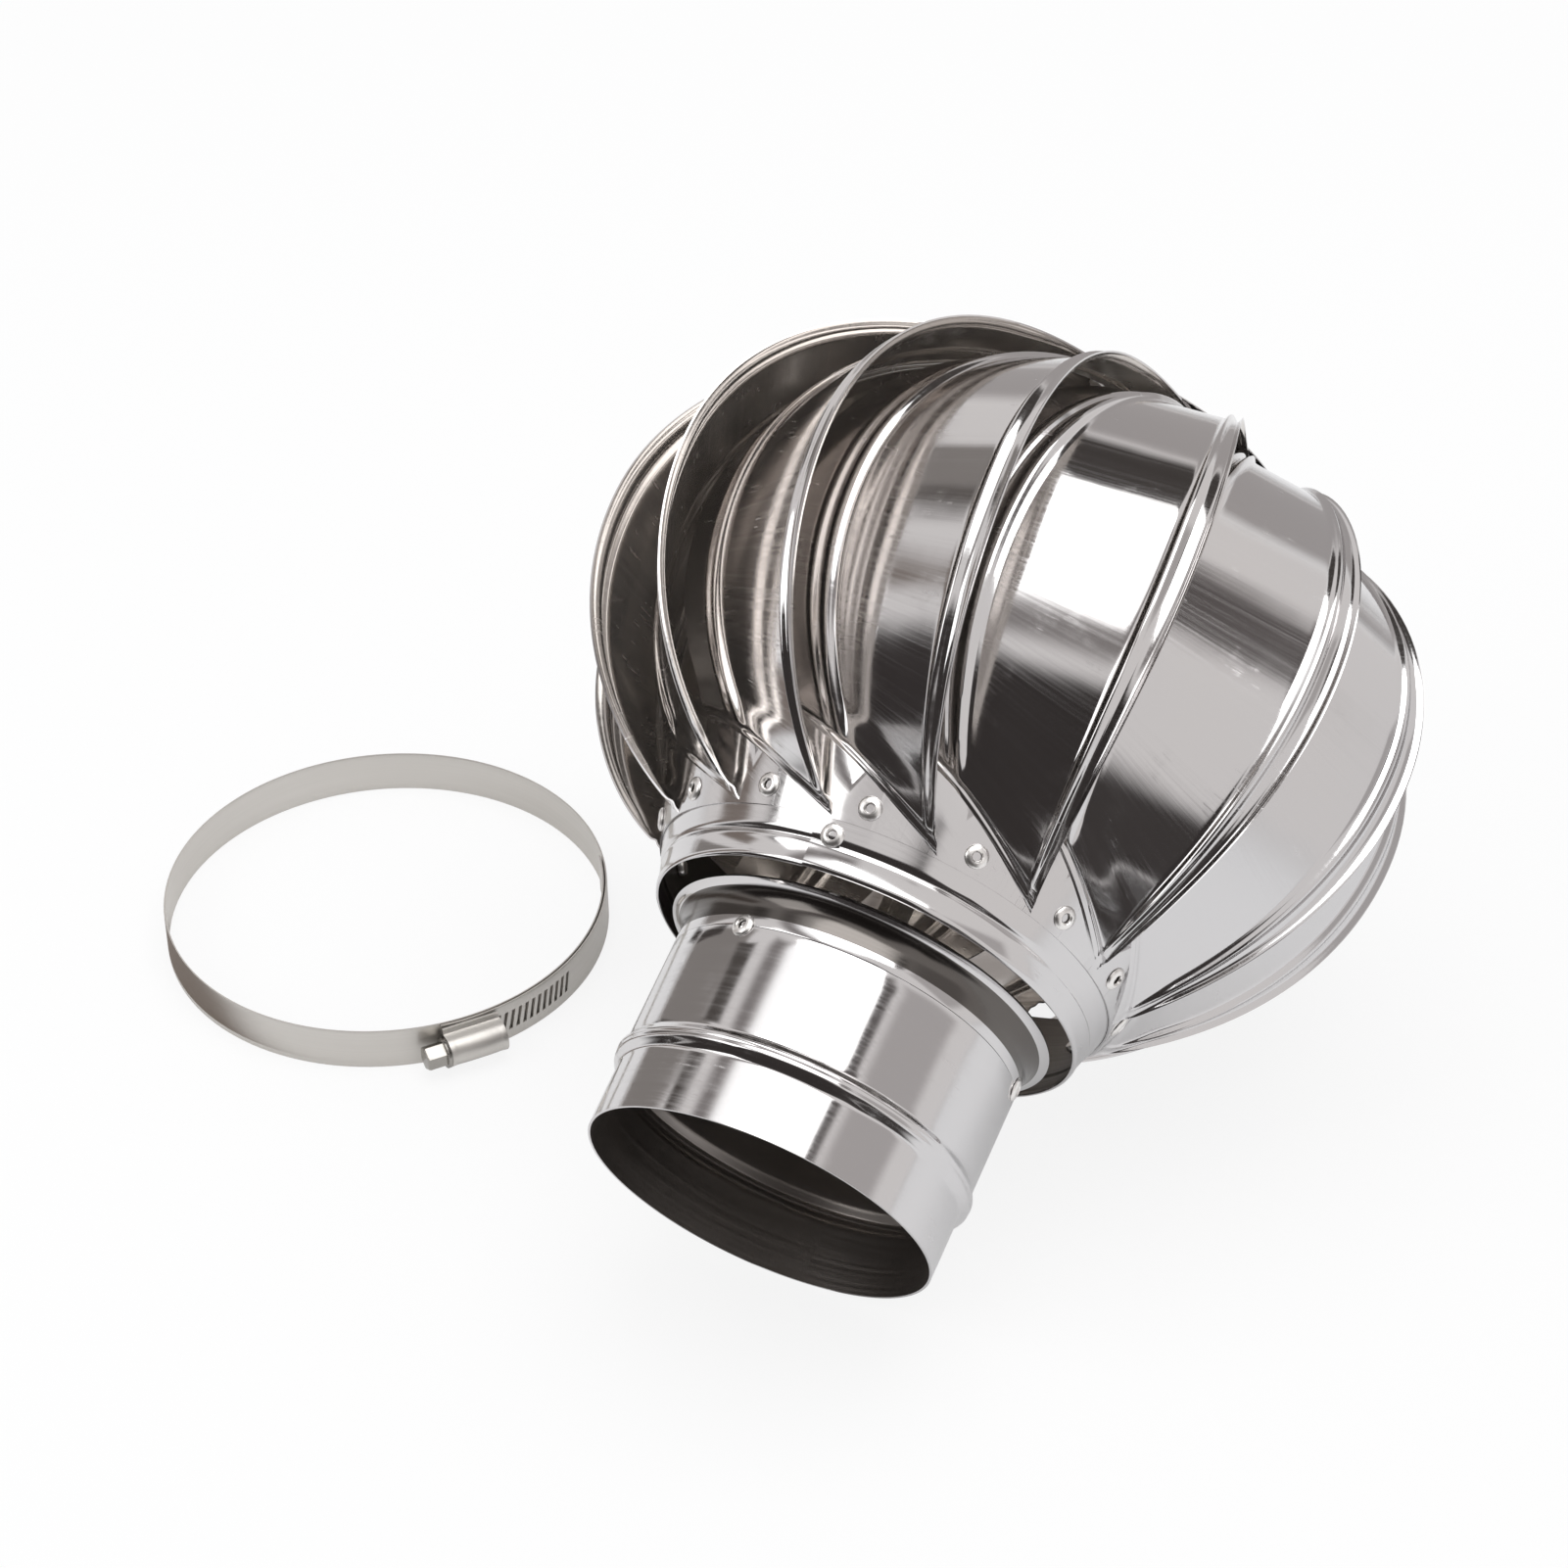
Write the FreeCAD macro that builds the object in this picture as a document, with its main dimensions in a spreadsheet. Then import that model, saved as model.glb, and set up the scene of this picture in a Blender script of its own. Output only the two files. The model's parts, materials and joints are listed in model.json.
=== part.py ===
import FreeCAD
import Part
import Sketcher

import math
import os

# Roof turbine ventilator in stainless steel, with the loose band clamp that comes with it.
# It lies as it is stored: the mouth of the tube and two vanes of the turbine touch the surface.
# +Z is up and +X is the heading of the turbine's axis. The origin is the centre of the tube's mouth.
# Each turbine piece is drawn upright, with the mouth at Z = 0 and the axis along Z, and is then tilted
# as one. All lengths are millimetres and all angles are degrees.

doc = FreeCAD.newDocument("roof_turbine_ventilator")
sheet = doc.addObject("Spreadsheet::Sheet", "sizes")
Vector = FreeCAD.Vector
Rotation = FreeCAD.Rotation
Placement = FreeCAD.Placement
UP = Vector(0, 0, 1)
SIDE = Vector(0, 1, 0)
ORIGIN = Vector(0, 0, 0)


# Sizes that follow the sheet

class Size:
    """A size as a number and as the expression that gives it, so that both stay in step."""

    def __init__(self, value, text):
        self.value = float(value)
        self.text = text

    def joined(self, other, sign, value):
        text = other.text if isinstance(other, Size) else repr(other)
        return Size(value, f"({self.text} {sign} {text})")

    def __add__(self, other):
        return self.joined(other, "+", self.value + number(other))

    def __sub__(self, other):
        return self.joined(other, "-", self.value - number(other))

    def __mul__(self, other):
        return self.joined(other, "*", self.value * number(other))

    def __truediv__(self, other):
        return self.joined(other, "/", self.value / number(other))

    def __neg__(self):
        return Size(-self.value, f"(-{self.text})")


def number(size):
    """The plain number of a Size, or of a number."""
    return size.value if isinstance(size, Size) else float(size)


def cosine(angle):
    return Size(math.cos(math.radians(angle.value)), f"cos({angle.text} * 1 deg)")


def sine(angle):
    return Size(math.sin(math.radians(angle.value)), f"sin({angle.text} * 1 deg)")


def arcsine(share):
    return Size(math.degrees(math.asin(share.value)), f"(asin({share.text}) / (1 deg))")


sheet_row = 0


def size(alias, value, meaning):
    """Write one driving dimension into the sheet and hand it back."""
    global sheet_row
    sheet_row += 1
    sheet.set(f"A{sheet_row}", meaning)
    sheet.set(f"B{sheet_row}", str(value))
    sheet.setAlias(f"B{sheet_row}", alias)
    return Size(0 if isinstance(value, str) else value, f"sizes.{alias}")


def derived(alias, amount, meaning):
    """Write a dimension that follows from others into the sheet as a formula and hand it back."""
    known = size(alias, "=" + amount.text.replace("sizes.", ""), meaning)
    known.value = amount.value
    return known


# Driving dimensions

mouth_diameter = size("mouth_diameter", 120, "outside of the tube's mouth, which goes on the flue")
sheet_wall = size("sheet_wall", 0.8, "sheet of the tube, the collar and the crown")
swage_step = size("swage_step", 0.8, "how much wider the tube is above its bead")
mouth_length = size("mouth_length", 22, "mouth section, up to the bead")
bead_width = size("bead_width", 9, "rolled bead, along the axis")
bead_height = size("bead_height", 2.4, "rolled bead, out of the tube")
bead_crest = size("bead_crest", 3, "flat crest of the bead, along the axis")
tube_height = size("tube_height", 74, "mouth to the start of the flared lip")
lip_radius = size("lip_radius", 8, "radius of the flared lip's hollow side")
lip_angle = size("lip_angle", 75, "how far the lip turns outward")

rivet_shank = size("rivet_shank", 4, "diameter of every blind rivet")
rivet_head = size("rivet_head", 8, "diameter of a rivet's flange")
rivet_rise = size("rivet_rise", 1.3, "height of a rivet's flange")
rivet_tail = size("rivet_tail", 2.6, "length of a rivet's tail behind the sheets")
rivet_play = size("rivet_play", 0.1, "radial clearance between a rivet's corners and its hole's sides")
seat_gap = size("seat_gap", 0.12, "clearance between curved sheets that lie on each other")

spider_height = size("spider_height", 57, "mouth to the underside of the spider's arms")
spider_sheet = size("spider_sheet", 2, "thickness of the spider")
spider_boss = size("spider_boss", 36, "diameter of the spider's middle")
spider_arm = size("spider_arm", 16, "width of an arm")
spider_tab = size("spider_tab", 15, "height of the tab at an arm's end")
spider_first_arm = size("spider_first_arm", 38, "direction of the first arm")
spider_bend = size("spider_bend", 3, "outer bend radius between an arm and its tab")
spider_rivet_height = size("spider_rivet_height", 67.2, "mouth to the rivets that hold the spider")
spider_arms = 3

shaft_thread = size("shaft_thread", 8, "diameter of the shaft's ends and bearing seats")
shaft_waist = size("shaft_waist", 11, "diameter of the shaft between spider and bearings")
washer_diameter = size("washer_diameter", 16, "washer under the spider")
washer_thickness = size("washer_thickness", 1.6, "washer under the spider")
nut_flats = size("nut_flats", 13, "nuts on the shaft, across flats")
nut_height = size("nut_height", 6.5, "nuts on the shaft")
shaft_end = size("shaft_end", 0.5, "how far the shaft stands out of its nuts")
shaft_headroom = size("shaft_headroom", 1, "clearance between the shaft's top and the crown")
top_sleeve = size("top_sleeve", 2, "sleeve between the upper bearing and its nut")
fit_gap = size("fit_gap", 0.05, "radial clearance of a turned fit")

bearing_outside = size("bearing_outside", 22, "outside of each ball bearing")
bearing_width = size("bearing_width", 7, "width of each ball bearing")
bearing_inner_ring = size("bearing_inner_ring", 12.1, "outside of a bearing's inner ring")
running_gap = size("running_gap", 0.1, "radial clearance between a bearing's rings")
bearing_spread = size("bearing_spread", 34, "distance between the two bearings")
hub_wall = size("hub_wall", 2.5, "wall of the hub around its bearings")
hub_shoulder = size("hub_shoulder", 1.4, "step that the bearings stand against")
hub_flange = size("hub_flange", 52, "diameter of the hub's flange")
hub_flange_sheet = size("hub_flange_sheet", 2.5, "thickness of the hub's flange")
hub_rivet_circle = size("hub_rivet_circle", 40, "pitch circle of the hub's rivets")
hub_rivet_count = 4
plug_rise = size("plug_rise", 3, "height of the weather plug over the crown")
plug_rim = size("plug_rim", 1.5, "how far the plug's rim covers the crown")
plug_edge = size("plug_edge", 0.8, "thickness of the plug's rim")
plug_skirt = size("plug_skirt", 4, "length of the plug's skirt")
plug_wall = size("plug_wall", 1.2, "wall of the plug's skirt")

collar_inside = size("collar_inside", 145.4, "clear diameter of the collar's lower rim")
collar_start = size("collar_start", 85, "mouth to the collar's rim")
collar_height = size("collar_height", 39, "height of the collar")
seam_rivet_height = size("seam_rivet_height", 11.3, "collar's rim to the rivet in its seam")
seam_rivet_turn = size("seam_rivet_turn", 203, "direction of the collar's seam rivet")
collar_spread = size("collar_spread", 20, "flare of the collar from its axis")
hem_height = size("hem_height", 3.5, "folded hem on the collar's rim")

equator_height = size("equator_height", 208, "mouth to the vanes' equator")
vane_seat = size("vane_seat", 119.5, "axis to the plane that a vane touches at the equator")
upper_round = size("upper_round", 85, "bend radius of a vane above the equator")
vane_sheet = size("vane_sheet", 0.6, "thickness of a vane")
vane_tip_low = size("vane_tip_low", 58, "free edge's lower end, across the vane")
vane_tip_high = size("vane_tip_high", 12, "crown's rim to the free edge's upper end, across the vane")
free_round = size("free_round", 205, "radius to which the free edge is cut")
vane_root_low = size("vane_root_low", 31.5, "inner edge's lower end, across the vane")
vane_root_high = size("vane_root_high", 35, "crown's rim to the inner edge's upper end, across the vane")
root_round = size("root_round", 133, "radius to which the inner edge is cut")
vane_blank_start = size("vane_blank_start", 15, "collar's rim to the lower end of a vane's cut edges")
vane_top_tab = size("vane_top_tab", 8.5, "flat tab at the vane's upper end")
vane_foot_start = size("vane_foot_start", 16, "collar's rim to the lower edge of a vane's foot")
vane_foot_width = size("vane_foot_width", 24, "angle that a vane's foot covers on the collar")
vane_foot_turn = size("vane_foot_turn", 22, "angle from a vane's own plane to its foot")
fold_height = size("fold_height", 25.4, "collar's rim to the middle of the fold above a vane's foot")
fold_lead = size("fold_lead", 8.9, "angle by which a vane's strip is longer than its bend down to the fold")
foot_rivet_height = size("foot_rivet_height", 22, "collar's rim to the rivet in the foot")
foot_rivet_turn = size("foot_rivet_turn", 7.5, "angle from the foot's inner side to its rivet")
top_rivet_inset = size("top_rivet_inset", 3, "upper rivet, inward from where the vane turns flat")
top_rivet_across = size("top_rivet_across", 21, "crown's rim to the upper rivet, across the vane")
vane_count = 14
LIP_STEPS = 2
FLANGE_SIDES = 10
SHANK_SIDES = 6
crown_diameter = size("crown_diameter", 136, "crown disc")

clamp_diameter = size("clamp_diameter", 160, "outside of the open clamp")
clamp_width = size("clamp_width", 16, "width of the clamp's band")
clamp_sheet = size("clamp_sheet", 0.7, "thickness of the clamp's band")
clamp_layer_gap = size("clamp_layer_gap", 0.35, "gap between the band's lapped ends")
clamp_forward = size("clamp_forward", 127.7, "clamp's centre from the mouth, along X")
clamp_aside = size("clamp_aside", 216.3, "clamp's centre from the mouth, along Y")
clamp_housing_turn = size("clamp_housing_turn", -128, "direction of the housing from the clamp's centre")
clamp_tail_turn = size("clamp_tail_turn", -51, "direction of the band's inner end")
clamp_housing_length = size("clamp_housing_length", 21, "worm housing, along the band")
clamp_housing_wall = size("clamp_housing_wall", 1, "sheet of the worm housing")
clamp_flange = size("clamp_flange", 2, "foot of the housing on each side of its barrel")
worm_diameter = size("worm_diameter", 8, "worm screw over its thread")
worm_play = size("worm_play", 0.4, "clearance around the worm")
worm_head_flats = size("worm_head_flats", 8, "worm's hexagon, across flats")
worm_head_length = size("worm_head_length", 7, "length of the worm's hexagon")
worm_washer = size("worm_washer", 11, "flange under the worm's hexagon")
worm_washer_sheet = size("worm_washer_sheet", 1.5, "thickness of that flange")
worm_slot = size("worm_slot", 1.4, "screwdriver slot in the worm's head")
slot_pitch = size("slot_pitch", 3, "distance between the slots of the band")
slot_width = size("slot_width", 1.5, "width of a slot")
slot_length = size("slot_length", 8, "length of a slot across the band")
slot_slant = size("slot_slant", 12, "slant of the slots")
slot_count = 18

hole_corner = Size(180 / SHANK_SIDES, str(180 / SHANK_SIDES))
tube_radius = mouth_diameter / 2 + swage_step
mouth_radius = mouth_diameter / 2
rivet_hole = (rivet_shank / 2 + rivet_play) / cosine(hole_corner)
crown_bore = bearing_outside / 2 + fit_gap
corner_half = Size(30, "30")
slope = sine(collar_spread) / cosine(collar_spread)
tip_high = crown_diameter / 2 - vane_tip_high
root_high = crown_diameter / 2 - vane_root_high
blank_bottom = collar_start + vane_blank_start
rivet_across = crown_diameter / 2 - top_rivet_across
fold_reach = (collar_inside / 2 + sheet_wall + fold_height * slope) * cosine(vane_foot_turn + vane_foot_width / 2)
fold_depth = vane_seat - fold_reach
fold_drop = equator_height - collar_start - fold_height
lower_round = derived("lower_round", (fold_depth * fold_depth + fold_drop * fold_drop) / (fold_depth * 2),
                      "bend radius of a vane below the equator, which brings it to its fold on the collar")
vane_reach = derived("vane_reach", arcsine(fold_drop / lower_round) + fold_lead,
                     "how far round its lower bend a vane's strip reaches")
doc.recompute()


# Sketches and turned pieces

def set_number(thing, name, amount):
    """Bind a property to the sheet, or set it where the amount is a plain number."""
    if isinstance(amount, Size):
        thing.setExpression(name, amount.text)
    else:
        setattr(thing, name, amount)


def arc_edge(start, end, radius, turn):
    """Circle arc from start to end; turn is 1 for counter-clockwise and -1 for clockwise."""
    chord = end - start
    reach = math.sqrt(max(radius ** 2 - (chord.Length / 2) ** 2, 0))
    left = Vector(-chord.y, chord.x, 0).normalize()
    centre = (start + end) / 2 + left * reach * turn
    first, last = (start, end) if turn > 0 else (end, start)
    angles = [math.atan2(point.y - centre.y, point.x - centre.x) for point in (first, last)]
    return Part.ArcOfCircle(Part.Circle(centre, UP, radius), *angles)


def pin_coordinate(sketch, edge, end, direction, amount):
    """Hold one coordinate of an edge's end at an amount, or on the axis where the amount is 0."""
    if number(amount) == 0:
        axis = -2 if direction == "X" else -1
        sketch.addConstraint(Sketcher.Constraint("PointOnObject", edge, end, axis))
        return
    held = sketch.addConstraint(
        Sketcher.Constraint("Distance" + direction, -1, 1, edge, end, number(amount)))
    if isinstance(amount, Size):
        sketch.setExpression(f"Constraints[{held}]", amount.text)


def draw_outline(sketch, corners):
    """Closed outline. A corner is (x, y), or (x, y, radius, turn) where an arc leads to the next one."""
    points = [Vector(number(corner[0]), number(corner[1]), 0) for corner in corners]
    ends = []
    for place, corner in enumerate(corners):
        start = points[place]
        finish = points[(place + 1) % len(points)]
        if len(corner) == 2:
            edge = sketch.addGeometry(Part.LineSegment(start, finish), False)
            ends.append((edge, 1, 2))
            continue
        radius, turn = corner[2], corner[3]
        edge = sketch.addGeometry(arc_edge(start, finish, number(radius), turn), False)
        ends.append((edge, 1, 2) if turn > 0 else (edge, 2, 1))
    for place, (edge, start, _) in enumerate(ends):
        previous, _, finish = ends[place - 1]
        sketch.addConstraint(Sketcher.Constraint("Coincident", previous, finish, edge, start))
        pin_coordinate(sketch, edge, start, "X", corners[place][0])
        pin_coordinate(sketch, edge, start, "Y", corners[place][1])
    for place, corner in enumerate(corners):
        if len(corner) == 4:
            edge = ends[place][0]
            held = sketch.addConstraint(Sketcher.Constraint("Radius", edge, number(corner[2])))
            if isinstance(corner[2], Size):
                sketch.setExpression(f"Constraints[{held}]", corner[2].text)


def new_sketch(body, role):
    """Sketch on one of the body's own origin planes."""
    sketch = body.newObject("Sketcher::SketchObject", body.Name + "_outline")
    plane = next(feature for feature in body.Origin.OriginFeatures if feature.Role == role)
    sketch.AttachmentSupport = [(plane, "")]
    sketch.MapMode = "FlatFace"
    return sketch


def turned(name, corners):
    """Body of revolution about Z, from a half section whose corners are (radius, height)."""
    body = doc.addObject("PartDesign::Body", name)
    sketch = new_sketch(body, "XZ_Plane")
    draw_outline(sketch, corners)
    turn = body.newObject("PartDesign::Revolution", name + "_turn")
    turn.Profile = (sketch, [""])
    turn.ReferenceAxis = (sketch, ["V_Axis"])
    turn.Angle = 360
    body.Tip = turn
    return body


def padded(name, role, corners, length, symmetric=False):
    """Body extruded from an outline on an origin plane."""
    body = doc.addObject("PartDesign::Body", name)
    sketch = new_sketch(body, role)
    draw_outline(sketch, corners)
    pad = body.newObject("PartDesign::Pad", name + "_pad")
    pad.Profile = (sketch, [""])
    pad.Midplane = symmetric
    set_number(pad, "Length", length)
    body.Tip = pad
    return body


def ring(name, inside, outside, bottom, top):
    """Plain ring with a rectangular section."""
    return turned(name, [(inside, bottom), (outside, bottom), (outside, top), (inside, top)])


def cylinder(name, radius, height, place):
    """Cylinder primitive along its own Z from a given placement."""
    tool = doc.addObject("Part::Cylinder", name)
    set_number(tool, "Radius", radius)
    set_number(tool, "Height", height)
    tool.Placement = place
    return tool


def cut(name, base, tools):
    """Boolean cut of some tools from a base."""
    result = doc.addObject("Part::Cut", name)
    result.Base = base
    if len(tools) == 1:
        result.Tool = tools[0]
        return result
    joined = doc.addObject("Part::MultiFuse", name + "_tools")
    joined.Shapes = tools
    result.Tool = joined
    return result


# Geometry that several pieces share

def around(radius, height, angle):
    """Point on a circle about the axis."""
    turn = math.radians(angle)
    return Vector(radius * math.cos(turn), radius * math.sin(turn), height)


def outward(angle, slope=0):
    """Unit vector that points away from the axis, raised by a slope angle."""
    rise = math.radians(slope)
    return around(math.cos(rise), math.sin(rise), angle)


def facing(point, direction):
    """Placement that puts a tool's Z along a direction at a point."""
    return Placement(point, Rotation(UP, direction))


def collar_radius(height, lift=0):
    """Radius of a surface that lies a lift outside the collar's cone, at a height above its rim."""
    slope = math.radians(collar_spread.value)
    rim = collar_inside.value / 2 + sheet_wall.value
    return rim + height * math.tan(slope) + lift / math.cos(slope)


# Blind rivets: a flange, and a shank that runs through both sheets

def prism(name, sides, radius, height, place):
    """Regular prism along its own Z from a given placement."""
    tool = doc.addObject("Part::Prism", name)
    tool.Polygon = sides
    set_number(tool, "Circumradius", radius)
    set_number(tool, "Height", height)
    tool.Placement = place
    return tool


def rivet(name, grip):
    """Rivet whose flange sits at the origin, with its shank along -Z."""
    flange = prism(name + "_flange", FLANGE_SIDES, rivet_head / 2, rivet_rise, Placement())
    shank = prism(name + "_shank", SHANK_SIDES, rivet_shank / 2, grip + rivet_tail, Placement())
    shank.setExpression("Placement.Base.z", (-(grip + rivet_tail)).text)
    whole = doc.addObject("Part::Fuse", name)
    whole.Base = flange
    whole.Tool = shank
    return whole


def copies(name, original, places):
    """Group of equal separate solids, one at each place."""
    links = []
    for count, place in enumerate(places, 1):
        link = doc.addObject("App::Link", f"{name}_{count}")
        link.LinkedObject = original
        link.Placement = place
        links.append(link)
    group = doc.addObject("Part::Compound", name)
    group.Links = links
    return group


def holes(name, places, depth):
    """Through holes for rivets, one at each place."""
    tools = []
    for count, place in enumerate(places, 1):
        start = place.multiply(Placement(Vector(0, 0, -depth), Rotation()))
        tools.append(prism(f"{name}_{count}", SHANK_SIDES, rivet_hole, depth * 2, start))
    return tools


spider_angles = [spider_first_arm.value + arm * 360 / spider_arms for arm in range(spider_arms)]
spider_rivet_places = [facing(around(tube_radius.value, spider_rivet_height.value, angle), outward(angle))
                       for angle in spider_angles]
vane_turns = [360 * count / vane_count for count in range(vane_count)]
foot_rivet_angle = vane_foot_turn.value + foot_rivet_turn.value
foot_lift = seat_gap.value + vane_sheet.value
foot_rivet_places = [
    facing(around(collar_radius(foot_rivet_height.value, foot_lift),
                  collar_start.value + foot_rivet_height.value, turn + foot_rivet_angle),
           outward(turn + foot_rivet_angle, -collar_spread.value))
    for turn in vane_turns]
crown_bottom = equator_height + upper_round + vane_sheet / 2
crown_top = crown_bottom + sheet_wall
flat_start = vane_seat.value - upper_round.value
top_rivet_radius = math.hypot(flat_start - top_rivet_inset.value, rivet_across.value)
top_rivet_angle = math.degrees(math.atan2(rivet_across.value, flat_start - top_rivet_inset.value))
top_rivet_places = [facing(around(top_rivet_radius, crown_top.value, turn + top_rivet_angle), UP)
                    for turn in vane_turns]
hub_rivet_places = [facing(around(hub_rivet_circle.value / 2, crown_top.value, 360 * count / hub_rivet_count), UP)
                    for count in range(hub_rivet_count)]
seam_rivet_place = facing(around(collar_radius(seam_rivet_height.value), collar_start.value + seam_rivet_height.value,
                                 seam_rivet_turn.value), outward(seam_rivet_turn.value, -collar_spread.value))


# Vane, drawn with its own plane square to X: a strip bent round two axes that run along Y,
# cut to a crescent, and folded where it meets the collar

def vane_band():
    """Strip bent to the vane's section, wider than the vane."""
    half = vane_sheet / 2
    low_axis = vane_seat - lower_round
    high_axis = vane_seat - upper_round
    reach = vane_reach
    flat_end = high_axis - vane_top_tab
    top = equator_height + upper_round
    corners = [
        (low_axis + (lower_round + half) * cosine(reach),
         equator_height - (lower_round + half) * sine(reach), lower_round + half, 1),
        (vane_seat + half, equator_height, upper_round + half, 1),
        (high_axis, top + half),
        (flat_end, top + half),
        (flat_end, top - half),
        (high_axis, top - half, upper_round - half, -1),
        (vane_seat - half, equator_height, lower_round - half, -1),
        (low_axis + (lower_round - half) * cosine(reach),
         equator_height - (lower_round - half) * sine(reach)),
    ]
    return padded("vane_band", "XZ_Plane", corners, (vane_tip_low + free_round) * 2, True)


def vane_blank():
    """Crescent outline that the strip is cut to, seen square to the vane's plane."""
    top = equator_height + upper_round + vane_sheet
    corners = [
        (vane_tip_low, blank_bottom, free_round, 1),
        (tip_high, top),
        (root_high, top, root_round, 1),
        (vane_root_low, blank_bottom),
    ]
    return padded("vane_blank", "YZ_Plane", corners, vane_seat + vane_sheet)


def collar_cone(name, lift):
    """Solid cone that lies a lift outside the collar."""
    cone = doc.addObject("Part::Cone", name)
    rim = collar_inside / 2 + sheet_wall + lift / cosine(collar_spread)
    height = collar_height + vane_foot_start
    set_number(cone, "Radius1", rim)
    set_number(cone, "Radius2", rim + height * slope)
    set_number(cone, "Height", height)
    cone.setExpression("Placement.Base.z", collar_start.text)
    return cone


def vane_foot():
    """Foot of a vane: a patch that lies on the collar, below the fold."""
    outside = collar_cone("foot_outside", seat_gap + vane_sheet)
    inside = collar_cone("foot_inside", seat_gap)
    shell = cut("foot_shell", outside, [inside])
    sector = doc.addObject("Part::Cylinder", "foot_sector")
    set_number(sector, "Radius", vane_seat)
    set_number(sector, "Height", collar_height)
    set_number(sector, "Angle", vane_foot_width)
    sector.Placement = Placement(ORIGIN, Rotation(UP, vane_foot_turn.value))
    sector.setExpression("Placement.Base.z", (collar_start + vane_foot_start).text)
    patch = doc.addObject("Part::Common", "foot_patch")
    patch.Base = shell
    patch.Tool = sector
    axis = Placement(Vector(vane_seat.value - lower_round.value, -free_round.value, equator_height.value),
                     Rotation(UP, SIDE))
    hollow = cylinder("vane_hollow", lower_round - vane_sheet / 2, free_round * 2, axis)
    return cut("vane_foot", patch, [hollow])


def vane():
    strip = doc.addObject("Part::Common", "vane_strip")
    strip.Base = vane_band()
    strip.Tool = vane_blank()
    free_part = cut("vane_free_part", strip, [collar_cone("vane_trim", seat_gap)])
    whole = doc.addObject("Part::MultiFuse", "vane_whole")
    whole.Shapes = [free_part, vane_foot()]
    drilled = holes("vane_hole", [foot_rivet_places[0]], foot_lift * 2)
    drilled += holes("vane_top_hole", [top_rivet_places[0]], foot_lift * 2)
    return cut("vane", whole, drilled)


# Base: tube, spider and shaft

def lip_points(radius, turns):
    """Corners of the flared lip, at a radius from the middle of its bend."""
    middle = tube_radius + lip_radius
    return [(middle - radius * cosine(turn), tube_height + radius * sine(turn)) for turn in turns]


def base_tube():
    """Tube with a rolled bead over its mouth section and a lip that flares outward at the top."""
    bead_end = mouth_length + bead_width
    ramp = (bead_width - bead_crest) / 2
    wall = sheet_wall
    steps = [lip_angle * share / LIP_STEPS for share in range(1, LIP_STEPS + 1)]
    outside = [
        (mouth_radius, 0),
        (mouth_radius, mouth_length),
        (mouth_radius + bead_height, mouth_length + ramp),
        (mouth_radius + bead_height, bead_end - ramp),
        (tube_radius, bead_end),
        (tube_radius, tube_height),
    ]
    inside = [(radius - wall, height) for radius, height in outside]
    corners = outside + lip_points(lip_radius, steps)
    corners += lip_points(lip_radius + wall, steps)[::-1] + inside[::-1]
    shell = turned("tube_shell", corners)
    depth = (spider_sheet + wall + seat_gap) * 2
    return cut("base_tube", shell, holes("tube_hole", spider_rivet_places, depth.value))


def support_spider():
    """Pan that is cut to three arms, each with a tab that is riveted to the tube's wall."""
    outside = tube_radius - sheet_wall - seat_gap
    inside = outside - spider_sheet
    bottom = spider_height
    floor = bottom + spider_sheet
    inner_bend = spider_bend - spider_sheet
    hole = shaft_thread / 2 + fit_gap
    corners = [
        (hole, bottom),
        (outside - spider_bend, bottom),
        (outside, bottom + spider_bend),
        (outside, bottom + spider_tab),
        (inside, bottom + spider_tab),
        (inside, floor + inner_bend),
        (inside - inner_bend, floor),
        (hole, floor),
    ]
    pan = turned("spider_pan", corners)
    star = [cylinder("spider_middle", spider_boss / 2, tube_height, Placement())]
    for count, angle in enumerate(spider_angles, 1):
        arm = doc.addObject("Part::Box", f"spider_arm_{count}")
        set_number(arm, "Length", tube_radius)
        set_number(arm, "Width", spider_arm)
        set_number(arm, "Height", tube_height)
        turn = Rotation(UP, angle)
        arm.Placement = Placement(turn.multVec(Vector(0, -spider_arm.value / 2, 0)), turn)
        star.append(arm)
    outline = doc.addObject("Part::MultiFuse", "spider_star")
    outline.Shapes = star
    blank = doc.addObject("Part::Common", "spider_blank")
    blank.Base = pan
    blank.Tool = outline
    depth = (spider_sheet + sheet_wall + seat_gap) * 2
    return cut("support_spider", blank, holes("spider_hole", spider_rivet_places, depth.value))


spider_top = spider_height + spider_sheet
upper_bearing_top = crown_bottom - shaft_headroom - shaft_end - nut_height - top_sleeve
upper_bearing_start = upper_bearing_top - bearing_width
lower_bearing_start = upper_bearing_start - bearing_spread
lower_bearing_top = lower_bearing_start + bearing_width
shaft_bottom = spider_height - washer_thickness - nut_height - shaft_end
bearing_bore = shaft_thread / 2 + fit_gap
ring_outside = bearing_inner_ring / 2


def shaft():
    """Fixed shaft with a thicker stretch that stands on the spider and carries the lower bearing."""
    corners = [
        (0, shaft_bottom),
        (shaft_thread / 2, shaft_bottom),
        (shaft_thread / 2, spider_top),
        (shaft_waist / 2, spider_top),
        (shaft_waist / 2, lower_bearing_start),
        (shaft_thread / 2, lower_bearing_start),
        (shaft_thread / 2, crown_bottom - shaft_headroom),
        (0, crown_bottom - shaft_headroom),
    ]
    return turned("shaft", corners)


def nut(name, bottom):
    """Hexagon nut around the shaft."""
    hexagon = prism(name + "_hexagon", 6, nut_flats / 2 / cosine(corner_half), nut_height, Placement())
    hexagon.setExpression("Placement.Base.z", bottom.text)
    bore = cylinder(name + "_bore", bearing_bore, crown_top, Placement())
    return cut(name, hexagon, [bore])


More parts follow.
